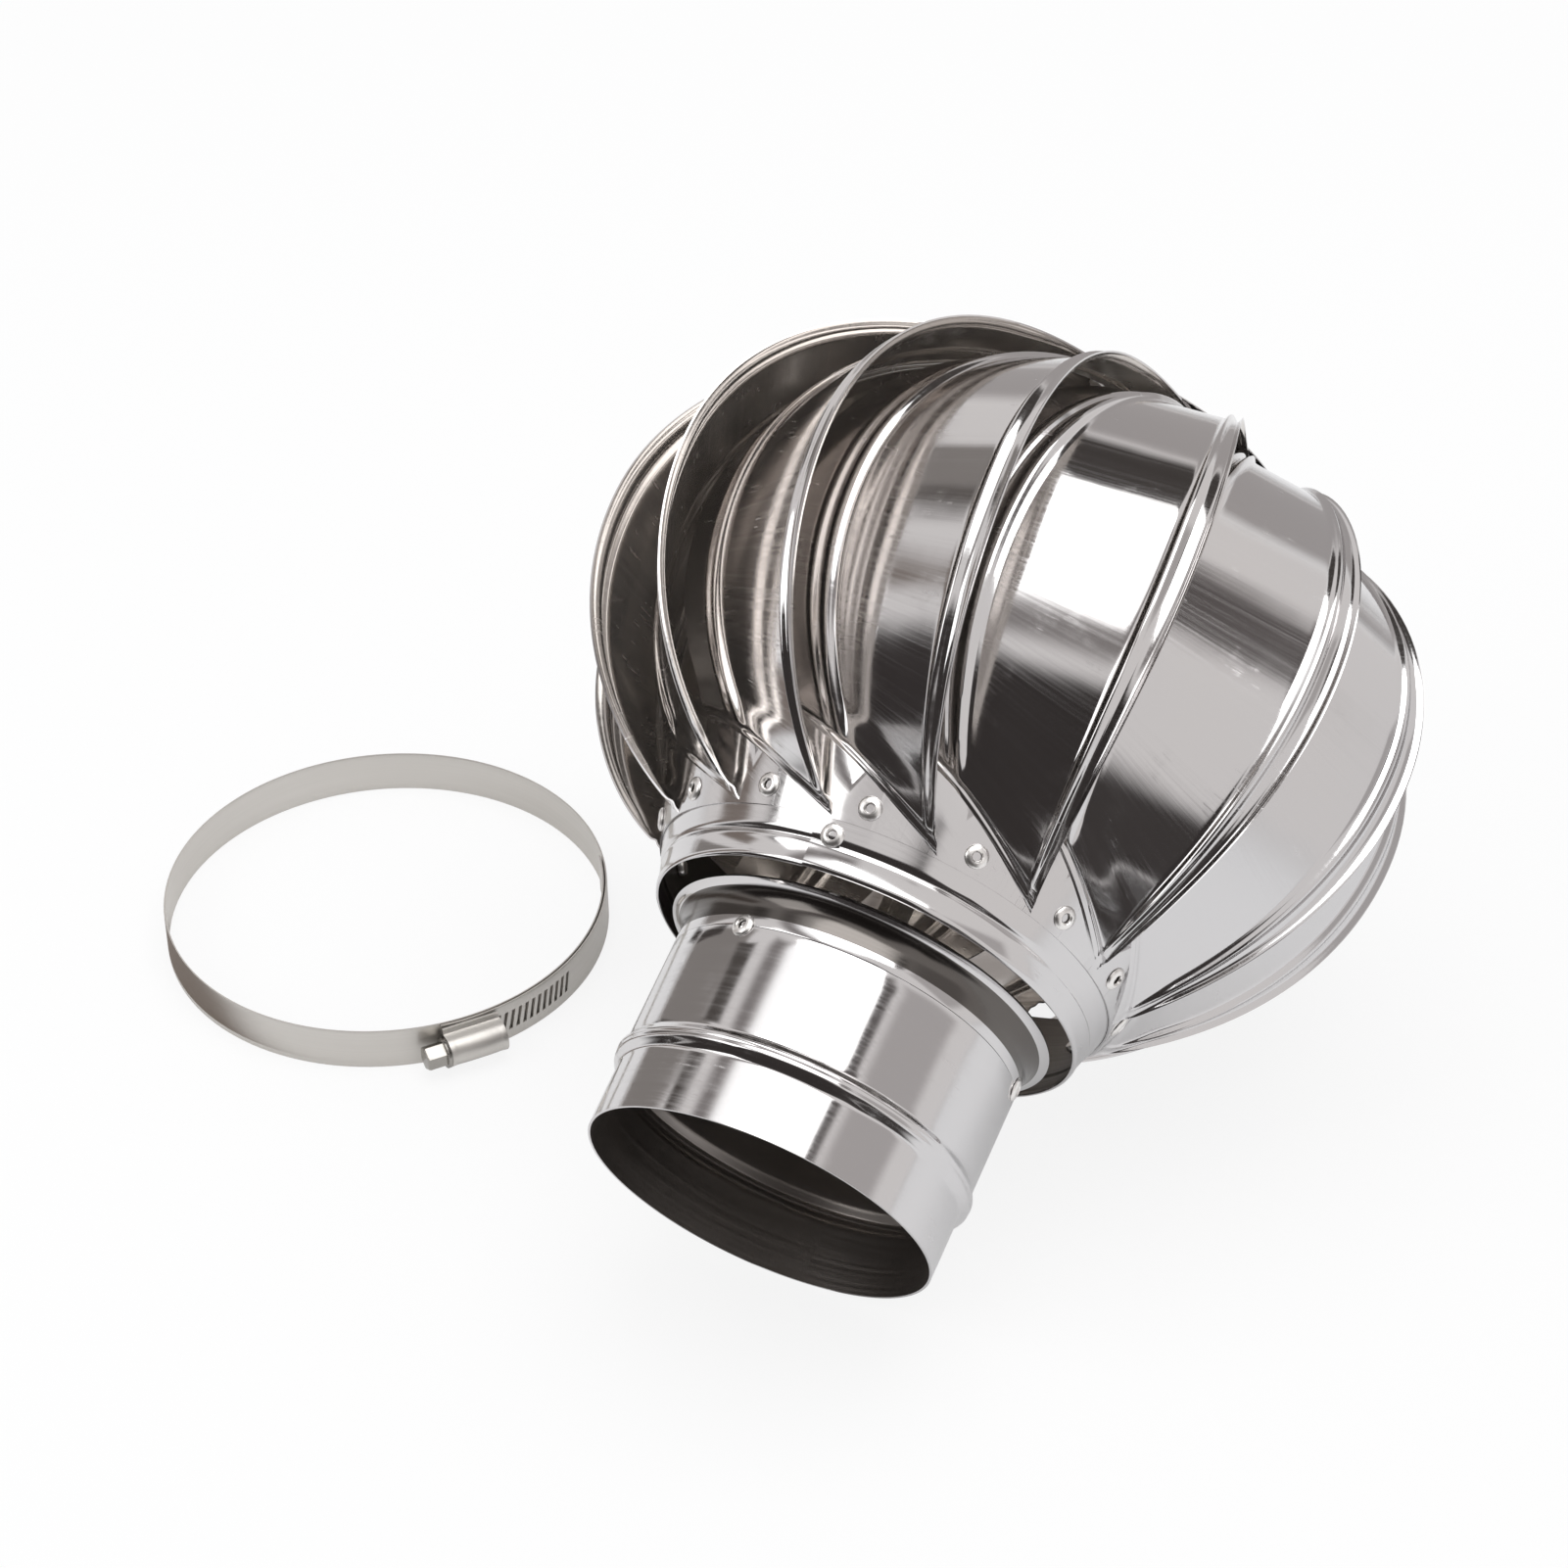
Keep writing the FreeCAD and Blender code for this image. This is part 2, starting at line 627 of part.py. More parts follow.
def bearing_rings(name, start):
    """Inner ring on the shaft and, around it, the outer ring with its shields in the hub."""
    top = start + bearing_width
    inner = ring(name + "_inner_ring", bearing_bore, ring_outside, start, top)
    outer = ring(name + "_outer_ring", ring_outside + running_gap, bearing_outside / 2, start, top)
    return inner, outer


# Turbine: collar, crown, hub and plug

def rotor_collar():
    """Conical collar with a hem folded outward at its lower rim."""
    inside = collar_inside / 2
    outside = inside + sheet_wall
    corners = [
        (inside, collar_start),
        (outside + sheet_wall, collar_start),
        (outside + sheet_wall + hem_height * slope, collar_start + hem_height),
        (outside + hem_height * slope, collar_start + hem_height),
        (outside + collar_height * slope, collar_start + collar_height),
        (inside + collar_height * slope, collar_start + collar_height),
    ]
    shell = turned("collar_shell", corners)
    places = foot_rivet_places + [seam_rivet_place]
    return cut("rotor_collar", shell, holes("collar_hole", places, foot_lift * 3))


def crown_disc():
    disc = ring("crown_plate", crown_bore, crown_diameter / 2, crown_bottom, crown_top)
    places = top_rivet_places + hub_rivet_places
    return cut("crown_disc", disc, holes("crown_rivet_hole", places, sheet_wall.value * 2))


def bearing_hub():
    """Hub that hangs under the crown, with a shoulder between its two bearing seats."""
    seat = bearing_outside / 2 + fit_gap
    outside = seat + hub_wall
    flange_bottom = crown_bottom - hub_flange_sheet
    corners = [
        (seat, lower_bearing_start),
        (outside, lower_bearing_start),
        (outside, flange_bottom),
        (hub_flange / 2, flange_bottom),
        (hub_flange / 2, crown_bottom),
        (seat, crown_bottom),
        (seat, upper_bearing_start),
        (seat - hub_shoulder, upper_bearing_start),
        (seat - hub_shoulder, lower_bearing_top),
        (seat, lower_bearing_top),
    ]
    blank = turned("hub_blank", corners)
    return cut("bearing_hub", blank, holes("hub_hole", hub_rivet_places, hub_flange_sheet.value * 2))


def weather_plug():
    """Cap whose skirt goes into the hub's open end."""
    skirt = crown_bore - seat_gap
    rim = crown_bore + plug_rim
    corners = [
        (0, crown_top),
        (skirt - plug_wall, crown_top),
        (skirt - plug_wall, crown_top - plug_skirt),
        (skirt, crown_top - plug_skirt),
        (skirt, crown_top),
        (rim, crown_top),
        (rim, crown_top + plug_edge),
        (0, crown_top + plug_rise),
    ]
    return turned("weather_plug", corners)


# Rest: the tilt at which the mouth's rim and the free edges of two vanes touch one plane

def cut_edge(low, high, radius, height):
    """Place across the vane of an edge that is cut to a radius, at a height over the mouth."""
    bottom = blank_bottom.value
    rise = equator_height.value + upper_round.value + vane_sheet.value - bottom
    half = math.hypot(rise, high - low) / 2
    reach = math.sqrt(radius ** 2 - half ** 2)
    middle_across = (low + high) / 2 - reach * rise / (2 * half)
    middle_height = bottom + rise / 2 + reach * (high - low) / (2 * half)
    return middle_across + math.sqrt(radius ** 2 - (height - middle_height) ** 2)


def free_edge(turn):
    """Point of the vane's outer free edge, a turn above or below the equator."""
    bend = upper_round.value if turn > 0 else lower_round.value
    outer = bend + vane_sheet.value / 2
    slope = math.radians(turn)
    height = equator_height.value + outer * math.sin(slope)
    forward = vane_seat.value - bend + outer * math.cos(slope)
    return Vector(forward, cut_edge(vane_tip_low.value, tip_high.value, free_round.value, height), height)


edge_turns = [-40 + 0.05 * step for step in range(1000)]
edge_points = [free_edge(turn) for turn in edge_turns]


def lying_height(tilt, phase):
    """Height of a vane's lowest point over the mouth's centre, with the axis raised by the tilt."""
    up = math.radians(tilt)
    turn = math.radians(phase)
    return min(point.z * math.sin(up)
               - (point.x * math.cos(turn) - point.y * math.sin(turn)) * math.cos(up)
               for point in edge_points)


def solved(function, low, high):
    """Argument between low and high at which a rising function crosses zero."""
    for _ in range(40):
        middle = (low + high) / 2
        if function(middle) > 0:
            high = middle
        else:
            low = middle
    return (low + high) / 2


vane_pitch = 360 / vane_count


def level_phase(tilt):
    """Turn of the rotor at which two neighbouring vanes are equally low."""
    straight = -math.degrees(math.atan2(edge_points[0].y, edge_points[0].x))
    return solved(lambda phase: lying_height(tilt, phase) - lying_height(tilt, phase - vane_pitch),
                  straight - vane_pitch / 2, straight + vane_pitch * 1.5)


def rest_error(tilt):
    return lying_height(tilt, level_phase(tilt)) + mouth_radius.value * math.cos(math.radians(tilt))


rest_tilt = solved(rest_error, 10, 45)
rotor_phase = level_phase(rest_tilt)
print("tilt", rest_tilt, "phase", rotor_phase, "error", rest_error(rest_tilt))
base_place = Placement(ORIGIN, Rotation(SIDE, 90 - rest_tilt))
rotor_place = base_place.multiply(Placement(ORIGIN, Rotation(UP, rotor_phase)))



# Clamp: a band of concentric arcs with one wide step inward, its worm housing and the worm

clamp_radius = clamp_diameter / 2
worm_reach = clamp_radius + worm_play + worm_diameter / 2
floor_height = -mouth_radius.value * math.cos(math.radians(rest_tilt))
clamp_middle = Vector(clamp_forward.value, clamp_aside.value, floor_height)
QUARTER = 90
band_start = clamp_housing_turn.value - math.degrees(clamp_housing_length.value / 2 / clamp_radius.value)


def polar(radius, angle, forward=0, aside=0):
    """Corner at a radius and a direction from a point."""
    turn = math.radians(angle)
    return (number(forward) + number(radius) * math.cos(turn), number(aside) + number(radius) * math.sin(turn))


def clamp_outline():
    """Band seen from above: it leaves the housing outside its own lapped end and ends inside it."""
    start = band_start
    step = clamp_sheet.value + clamp_layer_gap.value
    shift = polar(step / 2, start + QUARTER)
    quarters = [start + QUARTER * count for count in range(4)]
    sides = []
    for inset in (0, clamp_sheet.value):
        outer = clamp_radius.value - inset
        radii = [outer, outer - step / 2, outer - step / 2, outer - step]
        middles = [(0, 0), shift, shift, (0, 0)]
        side = [(*polar(radius, angle, *middle), radius)
                for radius, angle, middle in zip(radii, quarters, middles)]
        last = clamp_radius.value - inset - step
        side.append((*polar(last, start), last))
        side.append(polar(last, clamp_tail_turn.value))
        sides.append(side)
    outside, inside = sides
    corners = [(*corner, 1) for corner in outside[:-1]] + [outside[-1]]
    starts = inside[::-1]
    for place, corner in enumerate(starts[:-1]):
        corners.append((*corner[:2], starts[place + 1][2], -1))
    corners.append(starts[-1][:2])
    return corners


def clamp_band():
    band = padded("clamp_strip", "XY_Plane", clamp_outline(), clamp_width)
    step = math.degrees(slot_pitch.value / clamp_radius.value)
    slots = []
    for count in range(slot_count):
        angle = band_start + step * (count + 1)
        slot = doc.addObject("Part::Box", f"band_slot_{count + 1}")
        set_number(slot, "Length", clamp_sheet + clamp_layer_gap)
        set_number(slot, "Width", slot_width)
        set_number(slot, "Height", slot_length)
        turn = Rotation(UP, angle).multiply(Rotation(Vector(1, 0, 0), slot_slant.value))
        corner = Vector(-clamp_sheet.value - clamp_layer_gap.value / 2, -slot_width.value / 2,
                        -slot_length.value / 2)
        slot.Placement = Placement(around(clamp_radius.value, clamp_width.value / 2, angle)
                                   + turn.multVec(corner), turn)
        slots.append(slot)
    return cut("clamp_band", band, slots)


def clamp_housing():
    """Barrel over the worm, with a foot on each side that follows the band."""
    barrel = worm_diameter / 2 + worm_play
    outer = barrel + clamp_housing_wall
    half = outer + clamp_flange
    middle = clamp_width / 2
    foot = clamp_radius - clamp_housing_wall
    top = clamp_radius + clamp_housing_wall + seat_gap
    corners = [
        (foot, middle - half),
        (top, middle - half),
        (top, middle - outer),
        (worm_reach, middle - outer, outer, 1),
        (worm_reach + outer, middle, outer, 1),
        (worm_reach, middle + outer),
        (top, middle + outer),
        (top, middle + half),
        (foot, middle + half),
        (foot, middle + barrel),
        (worm_reach, middle + barrel, barrel, -1),
        (worm_reach + barrel, middle, barrel, -1),
        (worm_reach, middle - barrel),
        (foot, middle - barrel),
    ]
    blank = padded("housing_blank", "XZ_Plane", corners, clamp_housing_length, True)
    core = cylinder("housing_core", clamp_radius + seat_gap, clamp_width, Placement())
    return cut("clamp_housing", blank, [core])


def worm():
    """Worm screw along Y with its flanged, slotted hexagon head toward -Y."""
    half = clamp_housing_length / 2
    thread = cylinder("worm_thread", worm_diameter / 2, half * 2 + seat_gap,
                      Placement(Vector(0, -half.value - seat_gap.value, 0), Rotation(UP, SIDE)))
    collar = cylinder("worm_flange", worm_washer / 2, worm_washer_sheet,
                      Placement(Vector(0, -(half + seat_gap + worm_washer_sheet).value, 0), Rotation(UP, SIDE)))
    head = prism("worm_hexagon", 6, worm_head_flats / 2 / cosine(corner_half), worm_head_length,
                 Placement(Vector(0, -(half + seat_gap + worm_washer_sheet).value, 0), Rotation(UP, -SIDE)))
    screw = doc.addObject("Part::MultiFuse", "worm_blank")
    screw.Shapes = [thread, collar, head]
    slot = doc.addObject("Part::Box", "worm_slot_tool")
    set_number(slot, "Length", worm_slot)
    set_number(slot, "Width", worm_slot)
    set_number(slot, "Height", worm_washer)
    far = (half + seat_gap + worm_washer_sheet + worm_head_length).value
    slot.Placement = Placement(Vector(-worm_slot.value / 2, -far, -worm_washer.value / 2), Rotation())
    return cut("worm_screw", screw, [slot])


# Assembly

def named(thing, label, place):
    """Give a finished piece its name and its place, and keep it for the export."""
    thing.Label = label
    thing.Placement = place
    nodes.append(thing)


nodes = []
clamp_place = Placement(clamp_middle, Rotation())
housing_place = clamp_place.multiply(Placement(ORIGIN, Rotation(UP, clamp_housing_turn.value)))
worm_place = housing_place.multiply(Placement(Vector(worm_reach.value, 0, clamp_width.value / 2), Rotation()))

named(base_tube(), "base_tube", base_place)
named(support_spider(), "support_spider", base_place)
spider_rivet = rivet("spider_rivet", sheet_wall + seat_gap + spider_sheet)
named(copies("spider_rivets", spider_rivet, spider_rivet_places), "spider_rivets", base_place)
named(shaft(), "shaft", base_place)
named(ring("spider_washer", bearing_bore, washer_diameter / 2, spider_height - washer_thickness, spider_height),
      "spider_washer", base_place)
named(nut("spider_nut", spider_height - washer_thickness - nut_height), "spider_nut", base_place)
for name, start in (("lower_bearing", lower_bearing_start), ("upper_bearing", upper_bearing_start)):
    inner, outer = bearing_rings(name, start)
    named(inner, name + "_inner_ring", base_place)
    named(outer, name + "_outer_ring", rotor_place)
named(ring("bearing_spacer", bearing_bore, ring_outside, lower_bearing_top, upper_bearing_start),
      "bearing_spacer", base_place)
named(ring("top_spacer", bearing_bore, ring_outside, upper_bearing_top, upper_bearing_top + top_sleeve),
      "top_spacer", base_place)
named(nut("top_nut", upper_bearing_top + top_sleeve), "top_nut", base_place)
named(rotor_collar(), "rotor_collar", rotor_place)
seam_rivet = rivet("seam_rivet", sheet_wall)

named(copies("collar_seam_rivet", seam_rivet, [seam_rivet_place]), "collar_seam_rivet", rotor_place)
vane_sheet_body = vane()
for count, turn in enumerate(vane_turns, 1):
    single = doc.addObject("App::Link", f"vane_{count:02d}")
    single.LinkedObject = vane_sheet_body
    named(single, f"vane_{count:02d}", rotor_place.multiply(Placement(ORIGIN, Rotation(UP, turn))))
sheets = sheet_wall + seat_gap + vane_sheet
foot_rivet = rivet("foot_rivet", sheets)
named(copies("vane_lower_rivets", foot_rivet, foot_rivet_places), "vane_lower_rivets", rotor_place)
top_rivet = rivet("top_rivet", sheet_wall + vane_sheet)
named(copies("vane_upper_rivets", top_rivet, top_rivet_places), "vane_upper_rivets", rotor_place)
named(crown_disc(), "crown_disc", rotor_place)
named(bearing_hub(), "bearing_hub", rotor_place)
hub_rivet = rivet("hub_rivet", sheet_wall + hub_flange_sheet)
named(copies("hub_rivets", hub_rivet, hub_rivet_places), "hub_rivets", rotor_place)
named(weather_plug(), "weather_plug", rotor_place)
named(clamp_band(), "clamp_band", clamp_place)
named(clamp_housing(), "clamp_housing", housing_place)
named(worm(), "worm_screw", worm_place)
doc.recompute()

for thing in doc.Objects:
    if "Invalid" in thing.State or "Error" in thing.State:
        raise ValueError(f"{thing.Name} did not build")
os.makedirs("parts", exist_ok=True)
for node in nodes:
    shape = Part.getShape(node)
    if shape.isNull() or not shape.isValid():
        raise ValueError(f"{node.Label} is not a valid solid")
    shape.exportStep(f"parts/{node.Label}.step")
    print(node.Label, len(shape.Solids), round(shape.Volume, 1))
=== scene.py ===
import json
import math

import bpy
import numpy as np
from mathutils import Matrix, Vector


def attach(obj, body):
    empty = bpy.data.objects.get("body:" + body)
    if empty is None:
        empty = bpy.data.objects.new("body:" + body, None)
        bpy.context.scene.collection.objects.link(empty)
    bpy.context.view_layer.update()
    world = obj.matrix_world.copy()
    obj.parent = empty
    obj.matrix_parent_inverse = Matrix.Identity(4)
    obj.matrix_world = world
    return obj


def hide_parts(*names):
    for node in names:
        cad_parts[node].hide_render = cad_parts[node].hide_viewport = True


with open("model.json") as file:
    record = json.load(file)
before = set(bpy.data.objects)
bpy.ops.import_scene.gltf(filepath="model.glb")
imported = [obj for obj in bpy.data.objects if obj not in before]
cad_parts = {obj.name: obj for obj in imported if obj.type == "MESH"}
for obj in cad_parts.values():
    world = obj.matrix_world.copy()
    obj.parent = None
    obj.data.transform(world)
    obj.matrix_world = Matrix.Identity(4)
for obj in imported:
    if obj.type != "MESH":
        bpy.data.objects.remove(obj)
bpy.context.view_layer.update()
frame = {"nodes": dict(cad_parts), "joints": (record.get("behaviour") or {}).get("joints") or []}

# %% [markdown]
# ## Where the ventilator's own axes lie
# Turned pieces are easiest to shape upright, with the mouth at the bottom, and to tilt afterwards. The
# spin joint gives the tilt, so only the turbine's phase, which lays one vane on the floor, is written
# here. Shapes are in millimetres, and one matrix turns them into metres in the shared frame.
# %% Upright drawing frames
TUBE_RADIUS = 60
ROTOR_PHASE = math.radians(-22.66015)
MILLIMETRE = Matrix.Scale(0.001, 4)
joints = {entry["name"]: entry for entry in frame["joints"]}
heading = Vector(joints["rotor_spin"]["axis"])
tilt = math.atan2(heading.z, heading.x)
BASE = Matrix.Rotation(math.pi / 2 - tilt, 4, "Y") @ MILLIMETRE
ROTOR = BASE @ Matrix.Rotation(ROTOR_PHASE, 4, "Z")
FLOOR = -TUBE_RADIUS * math.cos(tilt)
print("tilt", round(math.degrees(tilt), 3), "floor", round(FLOOR, 2), "mm")

# %% [markdown]
# ## Camera
# The photograph looks down on the mouth from the front left with a long lens. Its place was worked out
# from the ellipses of the mouth, the collar and the clamp, for a tube that leans 26.73 degrees. This
# tube leans a little less, so the camera is turned by the difference and sees it as the photograph does.
# Lengths are in metres from here on, except in the pieces' own outlines.
# %% Camera
PHOTO_TILT = math.radians(26.73)
FOCAL_LENGTH, SENSOR_WIDTH = 112.4, 36


def new_object(name, data):
    """Object in the scene for a camera, a mesh or a lamp."""
    made = bpy.data.objects.new(name, data)
    bpy.context.scene.collection.objects.link(made)
    return made


lens_turn = Matrix.Rotation(PHOTO_TILT - tilt, 3, "Y")
view_right = lens_turn @ Vector((0.4483, -0.8939, 0.0))
view_forward = lens_turn @ Vector((0.7277, 0.3650, -0.5808))
lens_place = lens_turn @ Vector((-1.0652, -0.5433, 1.0179))
camera_data = bpy.data.cameras.new("camera")
camera_data.lens = FOCAL_LENGTH
camera_data.sensor_width = SENSOR_WIDTH
camera = new_object("camera", camera_data)
view_up = view_right.cross(view_forward)
view_axes = Matrix((view_right, view_up, -view_forward)).transposed().to_4x4()
camera.matrix_world = Matrix.Translation(lens_place) @ view_axes
bpy.context.scene.camera = camera
print("camera at", [round(value, 3) for value in lens_place])

# %% [markdown]
# ## Colours and nodes
# Colours are written as sRGB hex values, as a paint chart gives them, and turned to linear ones once.
# One function adds a node, sets its sockets and properties, and links its inputs. A number as a key
# means a socket by its place, which Math and Mix nodes need because their sockets share names.
# %% Helpers for materials


def linear(hex_colour):
    """Linear red, green, blue and alpha of an sRGB hex value."""
    channels = [int(hex_colour[start:start + 2], 16) / 255 for start in (1, 3, 5)]
    return [c / 12.92 if c <= 0.04045 else ((c + 0.055) / 1.055) ** 2.4 for c in channels] + [1.0]


def add(tree, kind, settings=None, links=None):
    """Shader node with its sockets and properties set and its inputs linked."""
    made = tree.nodes.new("ShaderNode" + kind)
    for key, value in (settings or {}).items():
        if isinstance(key, int) or key in made.inputs:
            made.inputs[key].default_value = value
        else:
            setattr(made, key, value)
    for key, source in (links or {}).items():
        tree.links.new(source, made.inputs[key])
    return made


def new_material(name):
    """Material with an empty node tree."""
    material = bpy.data.materials.new(name)
    material.use_nodes = True
    tree = material.node_tree
    tree.nodes.clear()
    return material, tree


print("half grey is", round(linear("#808080")[0], 3), "linear")

# %% [markdown]
# ## Scuffs
# Handling rubs a sheet in patches about 18 mm across. Each patch is a little hazy and is crossed by fine
# slanted scratches. Both only add roughness: the metal keeps its colour, and the patch shows where
# something bright is mirrored. Real scratches are hair-thin, and these are about 1.4 mm apart and some
# 20 mm long, as coarse as they need to be to show. Scales are counts per metre.
# %% Scuffs
PATCHES_PER_METRE = 55.0
SCRATCHES_PER_METRE = (700.0, 45.0, 1.0)
SCRATCH_LEAN = 0.6


def scuffs_on(tree, along, solid, amount):
    """Roughness that the haze of the rubbed patches adds, and that of the scratches in them."""
    smudge = add(tree, "TexNoise", {"Scale": PATCHES_PER_METRE, "Detail": 4.0, "Roughness": 0.65},
                 {"Vector": solid})
    rubbed = add(tree, "MapRange", {"From Min": 0.55, "From Max": 0.72},
                 {"Value": smudge.outputs["Fac"]}).outputs["Result"]
    slanted = add(tree, "Mapping", {"Rotation": (0, 0, SCRATCH_LEAN), "Scale": SCRATCHES_PER_METRE},
                  {"Vector": along})
    scratch = add(tree, "TexNoise", {"Scale": 1.0, "Detail": 2.0}, {"Vector": slanted.outputs["Vector"]})
    scored = add(tree, "MapRange", {"From Min": 0.60, "From Max": 0.68},
                 {"Value": scratch.outputs["Fac"]}).outputs["Result"]
    inside = add(tree, "Math", {"operation": "MULTIPLY"}, {0: rubbed, 1: scored}).outputs[0]
    scratches = add(tree, "Math", {"operation": "MULTIPLY", 1: amount}, {0: inside}).outputs[0]
    haze = add(tree, "MapRange", {"To Min": 0.0, "To Max": 0.10 * min(amount * 2, 1)}, {"Value": rubbed})
    return haze.outputs["Result"], scratches


print("scuffs: a patch each", round(1000 / PATCHES_PER_METRE), "mm")

# %% [markdown]
# ## Bright rolled stainless steel
# The sheet is 304 stainless, cold rolled and buffed until it mirrors. Besides the scuffs, three things
# keep it from looking like chrome: hair lines from the rolls, long soft dents from forming, some 45 mm
# across, and a faint warm and cool drift of the tone. The lines follow the sheet, so they are laid
# along its own UV map, which is measured in metres. Real hair lines are finer than 0.1 mm. They are
# drawn 1.1 mm apart here, the finest that shows, and 4 micrometres deep, so they only blur the mirror.
#
# The same steel has six finishes here. Outside it is bright. On the backs of the vanes a thin film dulls
# about an eighth of it, the dents are deeper, and a warm tint is a painted reflection. Inside the tube and
# the collar it was never buffed, so it is rough, and its grey tone is painted shade, darker in the collar
# than in the tube. The root of the tube's lip lies deep under the collar and is toned darker as painted
# shade. The clamp's band is brushed to a satin, with lines 0.6 mm apart.
# %% Sheet steel
HAIR_LINE = 0.0011
LINES_ALONG = 9.0
DENTS_PER_METRE = 22.0
DRIFTS_PER_METRE = 7.0


def sheet_steel(name, tones, roughness, line_depth, dent_depth, line_spacing=HAIR_LINE, bare=1.0,
                scuffs=0.0):
    """Metal with hair lines across U, soft dents, a drift between two tones, and scuffs.

    Bare is the share of the surface that no dull film covers.
    """
    material, tree = new_material(name)
    along = add(tree, "TexCoord").outputs["UV"]
    solid = add(tree, "TexCoord").outputs["Object"]
    across = add(tree, "Mapping", {"Scale": (1 / line_spacing, LINES_ALONG, 1.0)}, {"Vector": along})
    lines = add(tree, "TexNoise", {"Scale": 1.0, "Detail": 3.0, "Roughness": 0.6},
                {"Vector": across.outputs["Vector"]}).outputs["Fac"]
    dents = add(tree, "TexNoise", {"Scale": DENTS_PER_METRE, "Detail": 2.5, "Roughness": 0.4},
                {"Vector": solid}).outputs["Fac"]
    drift = add(tree, "TexNoise", {"Scale": DRIFTS_PER_METRE, "Detail": 2.0},
                {"Vector": solid}).outputs["Fac"]
    tone = add(tree, "Mix", {"data_type": "RGBA", 6: linear(tones[0]), 7: linear(tones[1])},
               {0: drift}).outputs[2]
    low, high = roughness
    rough = add(tree, "MapRange", {"From Min": 0.3, "From Max": 0.7, "To Min": low, "To Max": high},
                {"Value": lines}).outputs["Result"]
    for extra in scuffs_on(tree, along, solid, scuffs):
        rough = add(tree, "Math", {"operation": "ADD"}, {0: rough, 1: extra}).outputs[0]
    dented = add(tree, "Bump", {"Distance": dent_depth, "Strength": 1.0}, {"Height": dents})
    lined = add(tree, "Bump", {"Distance": line_depth, "Strength": 1.0},
                {"Height": lines, "Normal": dented.outputs["Normal"]})
    shader = add(tree, "BsdfPrincipled", {"Metallic": bare},
                 {"Base Color": tone, "Roughness": rough, "Normal": lined.outputs["Normal"]})
    add(tree, "OutputMaterial", {}, {"Surface": shader.outputs["BSDF"]})
    return material


polished_sheet = sheet_steel("stainless_bright_rolled", ("#d6d2d0", "#d2d2d4"), (0.05, 0.15),
                             line_depth=0.000004, dent_depth=0.00028, scuffs=0.35)
# The backs' warm tint is a painted reflection of brownish surroundings.
filmed_vane_back_painted_reflection = sheet_steel("stainless_filmed_vane_back_painted_reflection", ("#d2cac2", "#cfccc9"), (0.10, 0.20),
                            line_depth=0.000004, dent_depth=0.0006, bare=0.88, scuffs=0.7)
# The lip root's darker tone is painted shade, for the collar's shade over it.
lip_root_painted_shade = sheet_steel("stainless_lip_root_painted_shade", ("#5e5a57", "#6d6966"), (0.14, 0.24),
                         line_depth=0.000004, dent_depth=0.0002)
# The collar's inside is toned dark grey as painted shade.
dull_collar_inside_painted_shade = sheet_steel("stainless_dull_collar_inside_painted_shade", ("#57524e", "#6a6663"), (0.30, 0.45),
                          line_depth=0.000006, dent_depth=0.0002)
# The tube's inside is toned grey as painted shade.
dull_flue_tube_inside_painted_shade = sheet_steel("stainless_dull_flue_tube_inside_painted_shade", ("#8f8985", "#a39d99"), (0.30, 0.45),
                          line_depth=0.000006, dent_depth=0.0006)
satin_band = sheet_steel("stainless_satin_band", ("#c9c5bf", "#d8d5d1"), (0.36, 0.50),
                         line_depth=0.00001, dent_depth=0.0001, line_spacing=0.0006)
print("sheet steels", [material.name for material in (polished_sheet, filmed_vane_back_painted_reflection, lip_root_painted_shade,
                                                      dull_collar_inside_painted_shade, dull_flue_tube_inside_painted_shade, satin_band)])

# %% [markdown]
# ## Turned, stamped and plated steels
# The hidden pieces are duller: the spider and the hub are mill-finished, the shaft is turned, the nuts are
# bright zinc plated and the bearing rings are ground. A rivet is bright round its hollow, toned dark as
# painted shade.
# Each finish has an even grain of its own size, from 0.6 mm for ground rings to 1.5 mm for the crystals
# of zinc, and clouds of tone about 17 mm across. The carried-over CAD nodes have no UV map, so the grain
# uses the object's own coordinates.
# %% Solid steels
CLOUDS_PER_METRE = 60.0


def solid_steel(name, tones, roughness, grain, depth):
    """Metal with an even grain of a given size and depth in metres."""
    material, tree = new_material(name)
    solid = add(tree, "TexCoord").outputs["Object"]
    fine = add(tree, "TexNoise", {"Scale": 1 / grain, "Detail": 4.0}, {"Vector": solid}).outputs["Fac"]
    cloud = add(tree, "TexNoise", {"Scale": CLOUDS_PER_METRE, "Detail": 3.0}, {"Vector": solid})
    tone = add(tree, "Mix", {"data_type": "RGBA", 6: linear(tones[0]), 7: linear(tones[1])},
               {0: cloud.outputs["Fac"]}).outputs[2]
    rough = add(tree, "MapRange", {"To Min": roughness[0], "To Max": roughness[1]}, {"Value": fine})
    bump = add(tree, "Bump", {"Distance": depth}, {"Height": fine})
    shader = add(tree, "BsdfPrincipled", {"Metallic": 1.0},
                 {"Base Color": tone, "Roughness": rough.outputs["Result"],
                  "Normal": bump.outputs["Normal"]})
    add(tree, "OutputMaterial", {}, {"Surface": shader.outputs["BSDF"]})
    return material


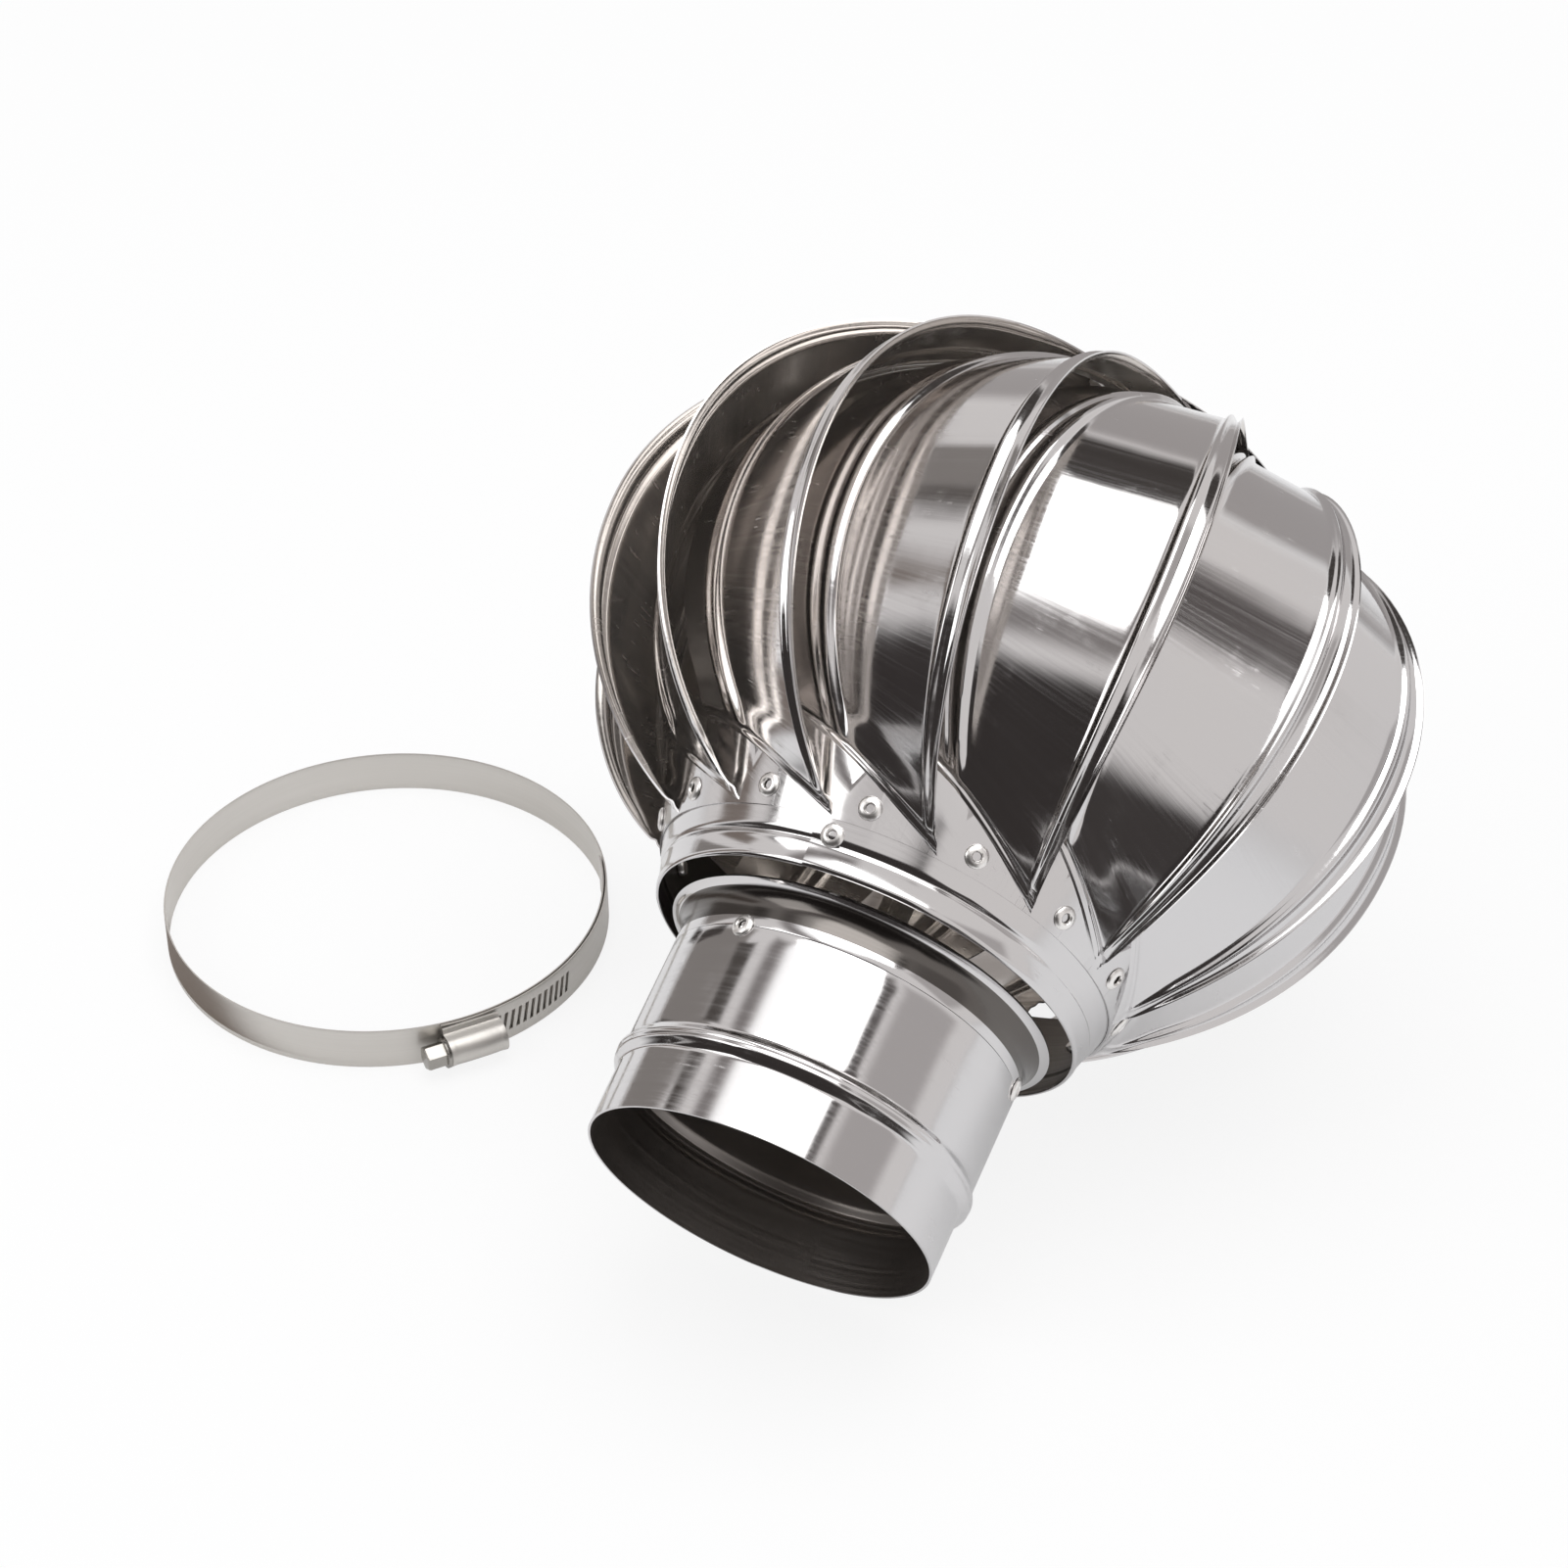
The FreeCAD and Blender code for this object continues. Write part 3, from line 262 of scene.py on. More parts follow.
mill_steel = solid_steel("steel_mill_finish", ("#a19d98", "#b4b2af"), (0.28, 0.42), 0.0012, 0.00002)
rivet_steel = solid_steel("stainless_rivet", ("#eae7e4", "#f4f2f0"), (0.24, 0.38), 0.0009, 0.00001)
zinc_steel = solid_steel("steel_zinc_plated", ("#c3c7cb", "#cfc9b6"), (0.20, 0.34), 0.0015, 0.00001)
bearing_steel = solid_steel("steel_ground", ("#b9bcc0", "#c8cacc"), (0.08, 0.16), 0.0006, 0.000004)
worm_steel = solid_steel("stainless_turned", ("#94908b", "#aba8a3"), (0.16, 0.30), 0.0008, 0.00001)
# The rivet's hollow is toned dark as painted shade.
rivet_hollow_painted_shade = solid_steel("steel_rivet_hollow_painted_shade", ("#2f2c2a", "#47433f"), (0.40, 0.55), 0.0006, 0.00001)
plain_nodes = {
    "support_spider": mill_steel, "shaft": worm_steel, "bearing_hub": mill_steel,
    "spider_washer": zinc_steel, "spider_nut": zinc_steel, "top_nut": zinc_steel,
    "lower_bearing_inner_ring": bearing_steel, "upper_bearing_inner_ring": bearing_steel,
    "lower_bearing_outer_ring": bearing_steel, "upper_bearing_outer_ring": bearing_steel,
    "bearing_spacer": bearing_steel, "top_spacer": bearing_steel,
}
for name, material in plain_nodes.items():
    finishes = frame["nodes"][name].data.materials
    finishes.clear()
    finishes.append(material)
print(len(plain_nodes), "CAD nodes dressed")

# %% [markdown]
# ## Sheets as meshes
# Nearly every piece here is sheet metal, so one helper makes them all: it takes a grid of points for each
# face of the sheet and closes the cut edges between them. Cells can be left out, which punches holes.
# A surface with a Solidify modifier would do for plain sheets, but not where the two faces differ, as they
# do at a hem. The UV map gives each point its place on the flat sheet, in metres.
# %% Sheet builder


def sheet_mesh(name, front, back, uv, wrap=False, punched=None):
    """Closed sheet from two grids of points and a grid of UV pairs.

    A wrapped sheet joins its last column to its first. A punched cell is left out.
    """
    rows, columns = front.shape[:2]
    spans = columns if wrap else columns - 1
    count = rows * columns
    present = np.ones((rows - 1, spans), bool)
    if punched is not None:
        present &= ~punched
    faces = []

    def solid(row, column):
        if not 0 <= row < rows - 1:
            return False
        if wrap:
            column %= columns
        elif not 0 <= column < spans:
            return False
        return present[row, column]

    for row, column in np.argwhere(present).tolist():
        after = (column + 1) % columns
        a, b = row * columns + column, row * columns + after
        c, d = (row + 1) * columns + after, (row + 1) * columns + column
        faces.append((a, b, c, d))
        faces.append((d + count, c + count, b + count, a + count))
        for near, first, last in ((solid(row - 1, column), a, b), (solid(row, column + 1), b, c),
                                  (solid(row + 1, column), c, d), (solid(row, column - 1), d, a)):
            if not near:
                faces.append((last, first, first + count, last + count))
    mesh = bpy.data.meshes.new(name)
    mesh.from_pydata(np.concatenate([front.reshape(-1, 3), back.reshape(-1, 3)]).tolist(), [], faces)
    layer = mesh.uv_layers.new(name="sheet")
    corners = np.zeros(len(mesh.loops), np.int32)
    mesh.loops.foreach_get("vertex_index", corners)
    layer.data.foreach_set("uv", uv.reshape(-1, 2)[corners % count].ravel())
    mesh.validate()
    return mesh


square = np.array([[(x, y, 0.0) for x in (0, 1)] for y in (0, 1)])
sample = sheet_mesh("sample", square, square - (0, 0, 1), square[:, :, :2])
print("a square sheet has", len(sample.polygons), "faces")
bpy.data.meshes.remove(sample)

# %% [markdown]
# ## Dressing a piece
# A finished mesh is still in millimetres. It is moved to its place, shaded smooth except at edges
# sharper than 38 degrees, given its material and tied to its body, and the CAD node that it stands for
# is hidden.
# %% Dressing
SHARP_EDGE = math.radians(38)


def put(name, mesh, place, body, material, node, inside=None):
    """Piece at its place that rides on a body and stands for a CAD node.

    A second material, if given, goes to the faces that have all their points on the sheet's back.
    """
    mesh.transform(place)
    mesh.shade_smooth()
    mesh.set_sharp_from_angle(angle=SHARP_EDGE)
    mesh.materials.append(material)
    if inside:
        mesh.materials.append(inside)
        half = len(mesh.vertices) // 2
        on_back = [int(min(face.vertices) >= half) for face in mesh.polygons]
        mesh.polygons.foreach_set("material_index", on_back)
    piece = new_object(name, mesh)
    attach(piece, body)
    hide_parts(node)
    return piece


print("edges over", round(math.degrees(SHARP_EDGE)), "degrees stay sharp")

# %% [markdown]
# ## Turned sheets
# The tube, the collar, the crown and the cap are round, so they are one outline turned about Z, as on a
# spinning lathe. The collar is rolled from a flat strip, and its two ends lap over each other at a
# riveted seam, so a turned sheet may have one: its outside steps up there and eases back.
# %% Lathe
SEGMENTS = 168
LAP, LAP_TURN = 0.5, math.radians(9)


def lathe(name, outside, inside, segments=SEGMENTS, seam=None):
    """Sheet turned about Z from two lines of (radius, height), one for each face.

    A seam, if given, is its angle in degrees. Three columns close together keep its step sharp.
    """
    angles = np.linspace(0, 2 * math.pi, segments, endpoint=False)
    step = 0 * angles
    if seam is not None:
        start = math.radians(seam)
        angles = np.sort(np.concatenate([angles, [start - 0.002, start, start + 0.004]]))
        past = angles - start
        step = np.where(past < 0, 0.0, LAP * np.clip(1 - past / LAP_TURN, 0, 1))
    grids = []
    for line, raised in ((outside, step), (inside, 0 * step)):
        radius, height = np.array(line, float).T[:, :, None]
        turned = radius + raised
        grids.append(np.stack([turned * np.cos(angles), turned * np.sin(angles), height + 0 * angles],
                              axis=2))
    runs = np.diff(np.array(outside, float), axis=0)
    along = np.concatenate([[0], np.cumsum(np.hypot(runs[:, 0], runs[:, 1]))])[:, None]
    uv = np.stack([along + 0 * angles, TUBE_RADIUS * angles + 0 * along], axis=2) / 1000
    return sheet_mesh(name, grids[0], grids[1], uv, wrap=True)


def offset_line(line, distance):
    """The line moved to its right-hand side, point by point."""
    line = np.array(line, float)
    run = np.gradient(line, axis=0)
    run /= np.linalg.norm(run, axis=1)[:, None]
    return line + distance * np.stack([run[:, 1], -run[:, 0]], axis=1)


print("a turned sheet has", SEGMENTS, "segments")

# %% [markdown]
# ## Flue tube
# A rolled tube with a swaged bead that stops the flue pipe, and a lip that flares at the top. Above the
# bead the radius is 0.8 mm larger, and a fine scored line runs round the tube at the rivets' height. The
# bead is pressed from inside, so both faces of the sheet follow it: the inner outline is the outer one,
# offset square to itself by the wall. The inside is dull and toned grey as painted shade, and the root of
# the lip, which lies in the collar's shade, is toned darker as painted shade.
# %% Tube
WALL = 0.8
SWAGE = 0.8
BEAD_START, BEAD_LENGTH, BEAD_RISE = 22, 9, 2.3
LIP_START, LIP_RADIUS = 74, 8
PAINTED_SHADE_LIP_ROWS = 9


def bead_radius(share):
    """Radius along the bead, which swells, has a slight dip on its back and ends wider."""
    dip = 0.5 * math.exp(-((share - 0.5) / 0.08) ** 2)
    return TUBE_RADIUS + SWAGE * share + BEAD_RISE * math.sin(math.pi * share) ** 1.5 - dip


UPPER_RADIUS = TUBE_RADIUS + SWAGE
bead = [(bead_radius(share), BEAD_START + BEAD_LENGTH * share) for share in np.linspace(0, 1, 25)]
lip = [(UPPER_RADIUS + LIP_RADIUS * (1 - math.cos(turn)), LIP_START + LIP_RADIUS * math.sin(turn))
       for turn in np.radians(np.linspace(0, 75, 14))]
scored_line = [(UPPER_RADIUS - 0.18, 67.4), (UPPER_RADIUS, 67.8), (UPPER_RADIUS, 71)]
tube_line = [(TUBE_RADIUS, height) for height in (0, 0.5, 6, 12, 18, 21)] + bead
tube_line += [(UPPER_RADIUS, height) for height in (33, 40, 50, 60, 67)] + scored_line + lip
tube_inner = offset_line(tube_line, -WALL)
tube_inner[0] = (TUBE_RADIUS - WALL, 0)
tube = put("flue_tube", lathe("flue_tube", tube_line, tube_inner), BASE, "base", polished_sheet,
           "base_tube", dull_flue_tube_inside_painted_shade)
# Faces at the root of the lip get the darker tone, which is painted shade.
tube.data.materials.append(lip_root_painted_shade)
first_lip_row = len(tube_line) - len(lip)
for face in tube.data.polygons:
    face_rows = [index // SEGMENTS for index in face.vertices]
    if first_lip_row - 1 <= min(face_rows) and max(face_rows) <= first_lip_row + PAINTED_SHADE_LIP_ROWS:
        face.material_index = 2
print("tube rows", len(tube_line), "mouth", 2 * TUBE_RADIUS, "mm")

# %% [markdown]
# ## Collar
# The cone that the vanes are riveted to. Its rim flares a little and is hemmed outward, so the edge is
# round and safe, and a shallow line is pressed above the flare. The strip's ends lap at a seam with one
# rivet of its own.
# %% Collar
COLLAR_SLOPE = math.radians(20)
RIM_HEIGHT, RIM_RADIUS = 85, 73.5
FLARE, FLARE_TOP, FLARE_RUN = 0.75, 92.0, 5.5
LINE_DEPTH, LINE_HEIGHT, LINE_WIDTH = 0.6, 94.0, 0.9
SEAM = 198


def collar_outside(height, lift=0.0):
    """Radius of the collar's outside, or of a surface that lies a lift above it."""
    return RIM_RADIUS + (height - RIM_HEIGHT) * math.tan(COLLAR_SLOPE) + lift / math.cos(COLLAR_SLOPE)


def pressed(height):
    """How far the flare of the rim and the pressed line move the sheet outward at a height."""
    flare = FLARE * min(max((FLARE_TOP - height) / FLARE_RUN, 0), 1) ** 2
    return flare - LINE_DEPTH * math.exp(-((height - LINE_HEIGHT) / LINE_WIDTH) ** 2)


rise = np.concatenate([np.linspace(86.2, 96.5, 30), np.linspace(97.5, 124, 14)])
hem = [(collar_outside(85.8, -0.5), 85.5), (collar_outside(85.2, -0.1), 85.1),
       (collar_outside(85.1, 0.45), 85.1), (collar_outside(85.5, 0.78), 85.55)]
collar_line = hem + [(collar_outside(height, pressed(height)), height) for height in rise]
collar_back = [(collar_outside(max(height, 85.7), pressed(max(height, 87)) - WALL), max(height, 85.7))
               for _, height in collar_line]
put("collar", lathe("collar", collar_line, collar_back, seam=SEAM), ROTOR, "rotor", polished_sheet,
    "rotor_collar", dull_collar_inside_painted_shade)
print("collar rim", round(2 * collar_line[2][0], 1), "mm")

# %% [markdown]
# ## Outline of a vane
# Each vane is a strip bent round two axes that lie across it, one for its lower and one for its upper
# half, so it can be described by a bend angle along it and a share of the way across it. Its two long
# edges are cut to arcs that bulge away from each other, so it is widest near the equator. It meets the
# cone at an angle that differs from column to column and is found by halving.
# %% Vane outline
EQUATOR, SEAT = 208.0, 119.5
LOWER_BEND, UPPER_BEND = 119.02, 85.0
CUT_FOOT, CUT_CROWN = 100.0, 293.6
INNER_CUT = (31.5, 33, 133)
FREE_CUT = (58, 56, 205)
FOOT_EDGE, FOOT_LIFT = 101, 0.42


def cut_edge(cut, height, side):
    """Place across the vane of an edge cut to an arc that bulges to one side.

    A cut is the edge's places at the foot and at the crown, and its radius.
    """
    low, high, radius = cut
    run = CUT_CROWN - CUT_FOOT
    half = math.hypot(run, high - low) / 2
    reach = math.sqrt(radius ** 2 - half ** 2)
    across = (low + high) / 2 - side * reach * run / (2 * half)
    middle = CUT_FOOT + run / 2 + side * reach * (high - low) / (2 * half)
    return across + side * math.sqrt(radius ** 2 - (height - middle) ** 2)


def vane_place(turn, share):
    """Middle of the sheet at a bend angle and at a share of the way from the inner to the free edge."""
    bend = UPPER_BEND if turn > 0 else LOWER_BEND
    forward = SEAT - bend + bend * math.cos(turn)
    height = EQUATOR + bend * math.sin(turn)
    inner = cut_edge(INNER_CUT, height, -1)
    return np.array((forward, inner + share * (cut_edge(FREE_CUT, height, 1) - inner), height))


def fold_turn(share):
    """Bend angle at which a column of the vane reaches the collar."""
    low, high = math.radians(-72), math.radians(-30)
    for _ in range(40):
        middle = (low + high) / 2
        x, y, z = vane_place(middle, share)
        if math.hypot(x, y) > collar_outside(z, FOOT_LIFT):
            high = middle
        else:
            low = middle
    return high


print("fold at", [round(math.degrees(fold_turn(share)), 1) for share in (0, 0.5, 1)], "degrees")

# %% [markdown]
# ## Relief of a vane
# Pressed ribs run along the vane and stiffen it: one inside the free edge, which is itself turned up, and
# a double one nearer the inner edge. The sheet between them lies up to 1.9 mm lower, pushed square to
# itself. The ribs fade out at the fold and at the crown, and just above the fold the sheet dips in a soft
# crease. The columns lie close together where the relief is steep, and the rows where the crease is.
# %% Vane relief
RELIEF = 1.9
FADE_AT_FOLD, FADE_AT_CROWN = 0.16, 0.35
CREASE, CREASE_PLACE, CREASE_WIDTH = 0.8, 0.034, 0.012
RIBS = ((1.0, 0.016, 1.0), (0.905, 0.022, 1.0), (0.30, 0.028, 1.0), (0.22, 0.02, 0.6))
LOWER_RUN, TAB_RUN, VANE_WIDTH = 0.125, 0.2585, 0.09


def relief(share):
    """How far the sheet lies inside its highest line, in millimetres."""
    raised = sum(height * math.exp(-((share - place) / width) ** 2) for place, width, height in RIBS)
    return RELIEF * (min(raised, 1.0) - 1.0)


def bent_row(turns, fade, crease, run):
    """Row of (point, normal, share, run) at each column's bend angle, pushed square to the sheet."""
    row = []
    for share, turn in zip(shares, turns):
        normal = np.array((math.cos(turn), 0, math.sin(turn)))
        push = relief(share) * fade - crease
        row.append((vane_place(turn, share) + normal * push, normal, share, run))
    return row


def foot_row(step):
    """Row of the foot that lies flat on the collar, from its lower edge, 0, to the fold, 1."""
    row = []
    for share, turn in zip(shares, fold_turns):
        x, y, z = vane_place(turn, share)
        angle = math.atan2(y, x)
        height = FOOT_EDGE + (max(z, FOOT_EDGE + 0.6) - FOOT_EDGE) * step
        radius = collar_outside(height, FOOT_LIFT)
        point = np.array((radius * math.cos(angle), radius * math.sin(angle), height))
        level = math.cos(COLLAR_SLOPE)
        normal = np.array((math.cos(angle) * level, math.sin(angle) * level, -math.sin(COLLAR_SLOPE)))
        row.append((point, normal, share, (height - z) / 1000))
    return row


shares = np.unique(np.round(np.concatenate([np.linspace(0, 1, 15), np.linspace(0.16, 0.38, 20),
                                            np.linspace(0.84, 1, 26)]), 4))
fold_turns = [fold_turn(share) for share in shares]
print(len(shares), "columns, lowest line", round(min(relief(share) for share in shares), 2), "mm")

# %% [markdown]
# ## One vane
# The rows run from the foot over the fold and round both bends to the tab that lies flat under the crown.
# Each keeps its normals, so that the two faces of the sheet are half its thickness to either side.
# %% Vane
SHEET = 0.6
vane_rows = [foot_row(step) for step in (0.0, 0.5, 0.985)]
for step in np.concatenate([np.linspace(0, 0.072, 13), np.linspace(0.09, 1, 32)]):
    crease = CREASE * math.exp(-((step - CREASE_PLACE) / CREASE_WIDTH) ** 2)
    fade = min(step / FADE_AT_FOLD, 1.0) ** 1.5
    turns = [turn * (1 - step) for turn in fold_turns]
    vane_rows.append(bent_row(turns, fade, crease, step * LOWER_RUN))
for turn in np.radians(np.linspace(3, 90, 30)):
    fade = min((math.pi / 2 - turn) / FADE_AT_CROWN, 1.0) ** 1.5
    vane_rows.append(bent_row([turn] * len(shares), fade, 0, LOWER_RUN + turn * UPPER_BEND / 1000))
for back in (2.0, 5.0, 8.5):
    vane_rows.append([(vane_place(math.pi / 2, share) - (back, 0, 0), np.array((0, 0, 1.0)), share,
                       TAB_RUN + back / 1000) for share in shares])
middle = np.array([[entry[0] for entry in row] for row in vane_rows])
normals = np.array([[entry[1] for entry in row] for row in vane_rows])
vane_uv = np.array([[(run, share * VANE_WIDTH) for _, _, share, run in row] for row in vane_rows])
vane_mesh = sheet_mesh("vane", middle + normals * SHEET / 2, middle - normals * SHEET / 2, vane_uv)
print("vane grid", middle.shape[:2], "faces", len(vane_mesh.polygons))

# %% [markdown]
# ## Fourteen vanes
# The vanes are the same sheet turned about the axis in equal steps, and each stands for its own CAD node.
# Their backs carry the dull film and a warm tint that is a painted reflection.
# %% All vanes
VANES = 14
for count in range(VANES):
    turn = Matrix.Rotation(2 * math.pi * count / VANES, 4, "Z")
    node = f"vane_{count + 1:02d}"
    put(node + "_sheet", vane_mesh.copy(), ROTOR @ turn, "rotor", polished_sheet, node,
        filmed_vane_back_painted_reflection)
print(VANES, "vanes")

# %% [markdown]
# ## Crown and weather plug
# The crown is the flat disc that closes the turbine, with a shallow pressed ring and a rolled edge. The
# plug over the upper bearing is a small pressed cap. Both are turned, like the tube.
# %% Crown
CROWN_TOP, CROWN_UNDER = 294.1, 293.32
crown_outside = [(11.1, CROWN_TOP), (11.4, CROWN_TOP), (30, CROWN_TOP), (31, 293.95), (32, CROWN_TOP),
                 (58, CROWN_TOP), (60, 294.05), (67.2, 294.05), (67.8, 293.9), (68, 293.7)]
crown_inside = [(11.1, 293.3)] + [(radius, CROWN_UNDER) for radius, _ in crown_outside[1:-2]]
crown_inside += [(67.6, CROWN_UNDER), (67.9, 293.4)]
put("crown", lathe("crown", crown_outside, crown_inside), ROTOR, "rotor", polished_sheet,
    "crown_disc")
plug_outside = [(9.7, 290.1), (10.9, 290.2), (10.93, 294.15), (12.3, 294.15), (12.55, 294.5),
                (12.4, 294.9), (11.6, 295.2), (9, 296.0), (5, 296.8), (1.5, 297.1), (0.01, 297.1)]
plug_inside = [(9.7, 290.12), (9.75, 290.3), (9.8, 294.0), (9.8, 294.1), (9.7, 294.2), (9.6, 294.3),
               (9.3, 294.5), (8, 295.2), (4.6, 296.0), (1.4, 296.3), (0.005, 296.3)]
put("weather_cap", lathe("weather_cap", plug_outside, plug_inside, segments=72), ROTOR, "rotor",
    mill_steel, "weather_plug")
print("crown", 2 * crown_outside[-1][0], "mm, cap", round(2 * max(plug_outside)[0], 1), "mm")

# %% [markdown]
# ## Blind rivets
# A blind rivet shows a domed flange with the hollow where its mandrel snapped, and a bulged tail behind
# the sheets. One profile is turned with few segments and copied to each place. The hollow is toned dark
# as painted shade.
# %% Rivets
RIVET_SEGMENTS = 28
HOLLOW_SHADE_ROWS = 2


def rivet_profile(grip):
    """Outline of (radius, height) from the hollow over the flange to the tail, for a grip of sheets."""
    hollow = [(0.01, -0.9), (1.35, -0.85), (1.45, 0.45)]
    flange = [(1.7, 1.0), (2.0, 1.26), (2.5, 1.2), (3.2, 0.95), (3.8, 0.55), (4.0, 0.2), (3.95, 0.0)]
    tail = [(2.0, -0.01), (2.0, -grip), (2.6, -grip - 0.5), (2.7, -grip - 1.6), (2.2, -grip - 2.4),
            (0.01, -grip - 2.6)]
    return hollow + flange + tail


def ring_faces(rows, columns, start=0):
    """Faces between turned rows of points that follow each other, from a first point on."""
    faces = []
    for row in range(rows - 1):
        for column in range(columns):
            after = (column + 1) % columns
            a, b = start + row * columns, start + (row + 1) * columns
            faces.append((a + after, a + column, b + column, b + after))
    return faces


def rivet_group(name, places, grip, place, body, node):
    """Turned rivets that hold a grip of sheets, at each (point, outward direction)."""
    profile = rivet_profile(grip)
    angles = np.linspace(0, 2 * math.pi, RIVET_SEGMENTS, endpoint=False)
    upright = [Vector((radius * math.cos(angle), radius * math.sin(angle), height))
               for radius, height in profile for angle in angles]
    points, faces = [], []
    for point, direction in places:
        aim = Vector(direction).to_track_quat("Z", "Y").to_matrix()
        faces += ring_faces(len(profile), RIVET_SEGMENTS, len(points))
        points += [Vector(point) + aim @ part for part in upright]
    mesh = bpy.data.meshes.new(name)
    mesh.from_pydata(points, [], faces)
    mesh.validate()
    rivets = put(name, mesh, place, body, rivet_steel, node)
    # Rows of the hollow get the dark tone, which is painted shade.
    rivets.data.materials.append(rivet_hollow_painted_shade)
    one_rivet = [int(row < HOLLOW_SHADE_ROWS) for row in range(len(profile) - 1) for _ in angles]
    rivets.data.polygons.foreach_set("material_index", one_rivet * len(places))


print("rivet flange", 2 * max(rivet_profile(1))[0], "mm")

# %% [markdown]
# ## Where the rivets sit
# Three hold the spider's arms to the tube, one closes the collar's seam, fourteen hold the vanes' feet to
# the cone, fourteen hold their tabs to the crown and four hold the bearing's hub under it.
# %% Rivet places


def radial(radius, height, degrees, lean=0.0):
    """Point at a radius and height, and the direction that leaves it outward, leaning down by an angle."""
    turn, lean = math.radians(degrees), math.radians(lean)
    point = (radius * math.cos(turn), radius * math.sin(turn), height)
    return point, (math.cos(turn) * math.cos(lean), math.sin(turn) * math.cos(lean), -math.sin(lean))


def upward(radius, degrees):
    """Point on the crown, and the direction up from it."""
    point, _ = radial(radius, CROWN_TOP, degrees)
    return point, (0, 0, 1)


def on_collar(height, degrees, lift=0.0):
    """Point on the collar, or above it by a lift, and the direction square to the cone."""
    return radial(collar_outside(height, lift), height, degrees, math.degrees(COLLAR_SLOPE))


VANE_STEP = 360 / VANES
SPIDER_HEIGHT, SPIDER_TURN = 67.2, 38
SEAM_HEIGHT, SEAM_OVERLAP = 96.3, 5
FOOT_HEIGHT, FOOT_TURN, FOOT_STACK = 107, 29.5, 0.72
HUB_CIRCLE = 20
TAB_ACROSS, TAB_ALONG = 31.5, 47
tab_radius, tab_turn = math.hypot(TAB_ACROSS, TAB_ALONG), math.degrees(math.atan2(TAB_ALONG, TAB_ACROSS))
rivet_sets = (
    ("spider_blind_rivets", "spider_rivets", 2.92, BASE, "base",
     [radial(UPPER_RADIUS, SPIDER_HEIGHT, SPIDER_TURN + 120 * arm) for arm in range(3)]),
    ("collar_seam_blind_rivet", "collar_seam_rivet", 0.8, ROTOR, "rotor",
     [on_collar(SEAM_HEIGHT, SEAM + SEAM_OVERLAP)]),
    ("vane_foot_blind_rivets", "vane_lower_rivets", 1.52, ROTOR, "rotor",
     [on_collar(FOOT_HEIGHT, FOOT_TURN + VANE_STEP * count, FOOT_STACK) for count in range(VANES)]),
    ("vane_top_blind_rivets", "vane_upper_rivets", 1.4, ROTOR, "rotor",
     [upward(tab_radius, tab_turn + VANE_STEP * count) for count in range(VANES)]),
    ("hub_blind_rivets", "hub_rivets", 3.3, ROTOR, "rotor",
     [upward(HUB_CIRCLE, 90 * count) for count in range(4)]),
)
for name, node, grip, place, body, places in rivet_sets:
    rivet_group(name, places, grip, place, body, node)
print(sum(len(entry[-1]) for entry in rivet_sets), "rivets")

# %% [markdown]
# ## Clamp band
# A flat stainless strip closed into a ring. Its outer end carries the housing, and its tail slides
# under it, so the ring's radius drops by 1.05 mm on the way round. The slots that the worm bites into
# are punched at a slant, so the grid's columns slant with them and the cells inside a slot are left out.
# Places along the strip are degrees from its outer end.
# %% Band
BAND_RADIUS, BAND_WIDTH, STRIP = 80, 16, 0.7
BAND_STEP = 1.05
HOUSING_TURN, TAIL_TURN, HALF_HOUSING = -128, -51, 10.5
SLOTS, PITCH, HALF_SLOT = 18, 3.0, 0.54
SLOT_ROWS = slice(3, 7)
EDGE_ROUND = 0.12
CLAMP = Matrix.Translation((0.1277, 0.2163, FLOOR / 1000)) @ MILLIMETRE


def band_radius(turned):
    """Outside radius of the band after it has turned by some degrees from its outer end."""
    if turned <= 90:
        return BAND_RADIUS
    if turned >= 270:
        return BAND_RADIUS - BAND_STEP
    return BAND_RADIUS - BAND_STEP / 2 + BAND_STEP / 2 * math.cos(math.radians(turned - 90))


housing_reach = math.degrees(HALF_HOUSING / BAND_RADIUS)
band_end = 360 + (TAIL_TURN - HOUSING_TURN) + housing_reach
slots = [PITCH * (count + 1) / BAND_RADIUS * 180 / math.pi for count in range(SLOTS)]
marks = [0.0] + [slot + side for slot in slots for side in (-HALF_SLOT, HALF_SLOT)]
marks += list(np.linspace(slots[-1] + 2, band_end, 150))
slant = math.degrees(math.tan(math.radians(12)) / BAND_RADIUS)
front, back, band_uv = [], [], []
for height in (0, 0.4, 2, 4, 6, 8, 10, 12, 14, 15.6, BAND_WIDTH):
    rounding = EDGE_ROUND if height in (0, BAND_WIDTH) else 0
    leaning = [mark + (slant * (height - BAND_WIDTH / 2) if 0 < mark <= slots[-1] + 1 else 0.0)
               for mark in marks]
    for grid, inward in ((front, rounding), (back, STRIP - rounding)):
        row = []
        for mark in leaning:
            turn, radius = math.radians(HOUSING_TURN - housing_reach + mark), band_radius(mark) - inward
            row.append((radius * math.cos(turn), radius * math.sin(turn), height))
        grid.append(row)
    band_uv.append([(height / 1000, math.radians(mark) * BAND_RADIUS / 1000) for mark in marks])
punched = np.zeros((len(front) - 1, len(marks) - 1), bool)
punched[SLOT_ROWS, 1:2 * SLOTS:2] = True
band_mesh = sheet_mesh("clamp_strip", np.array(front), np.array(back), np.array(band_uv), punched=punched)
put("clamp_strip", band_mesh, CLAMP, "clamp", satin_band, "clamp_band")
print("band", round(math.radians(band_end) * BAND_RADIUS), "mm long, faces", len(band_mesh.polygons))

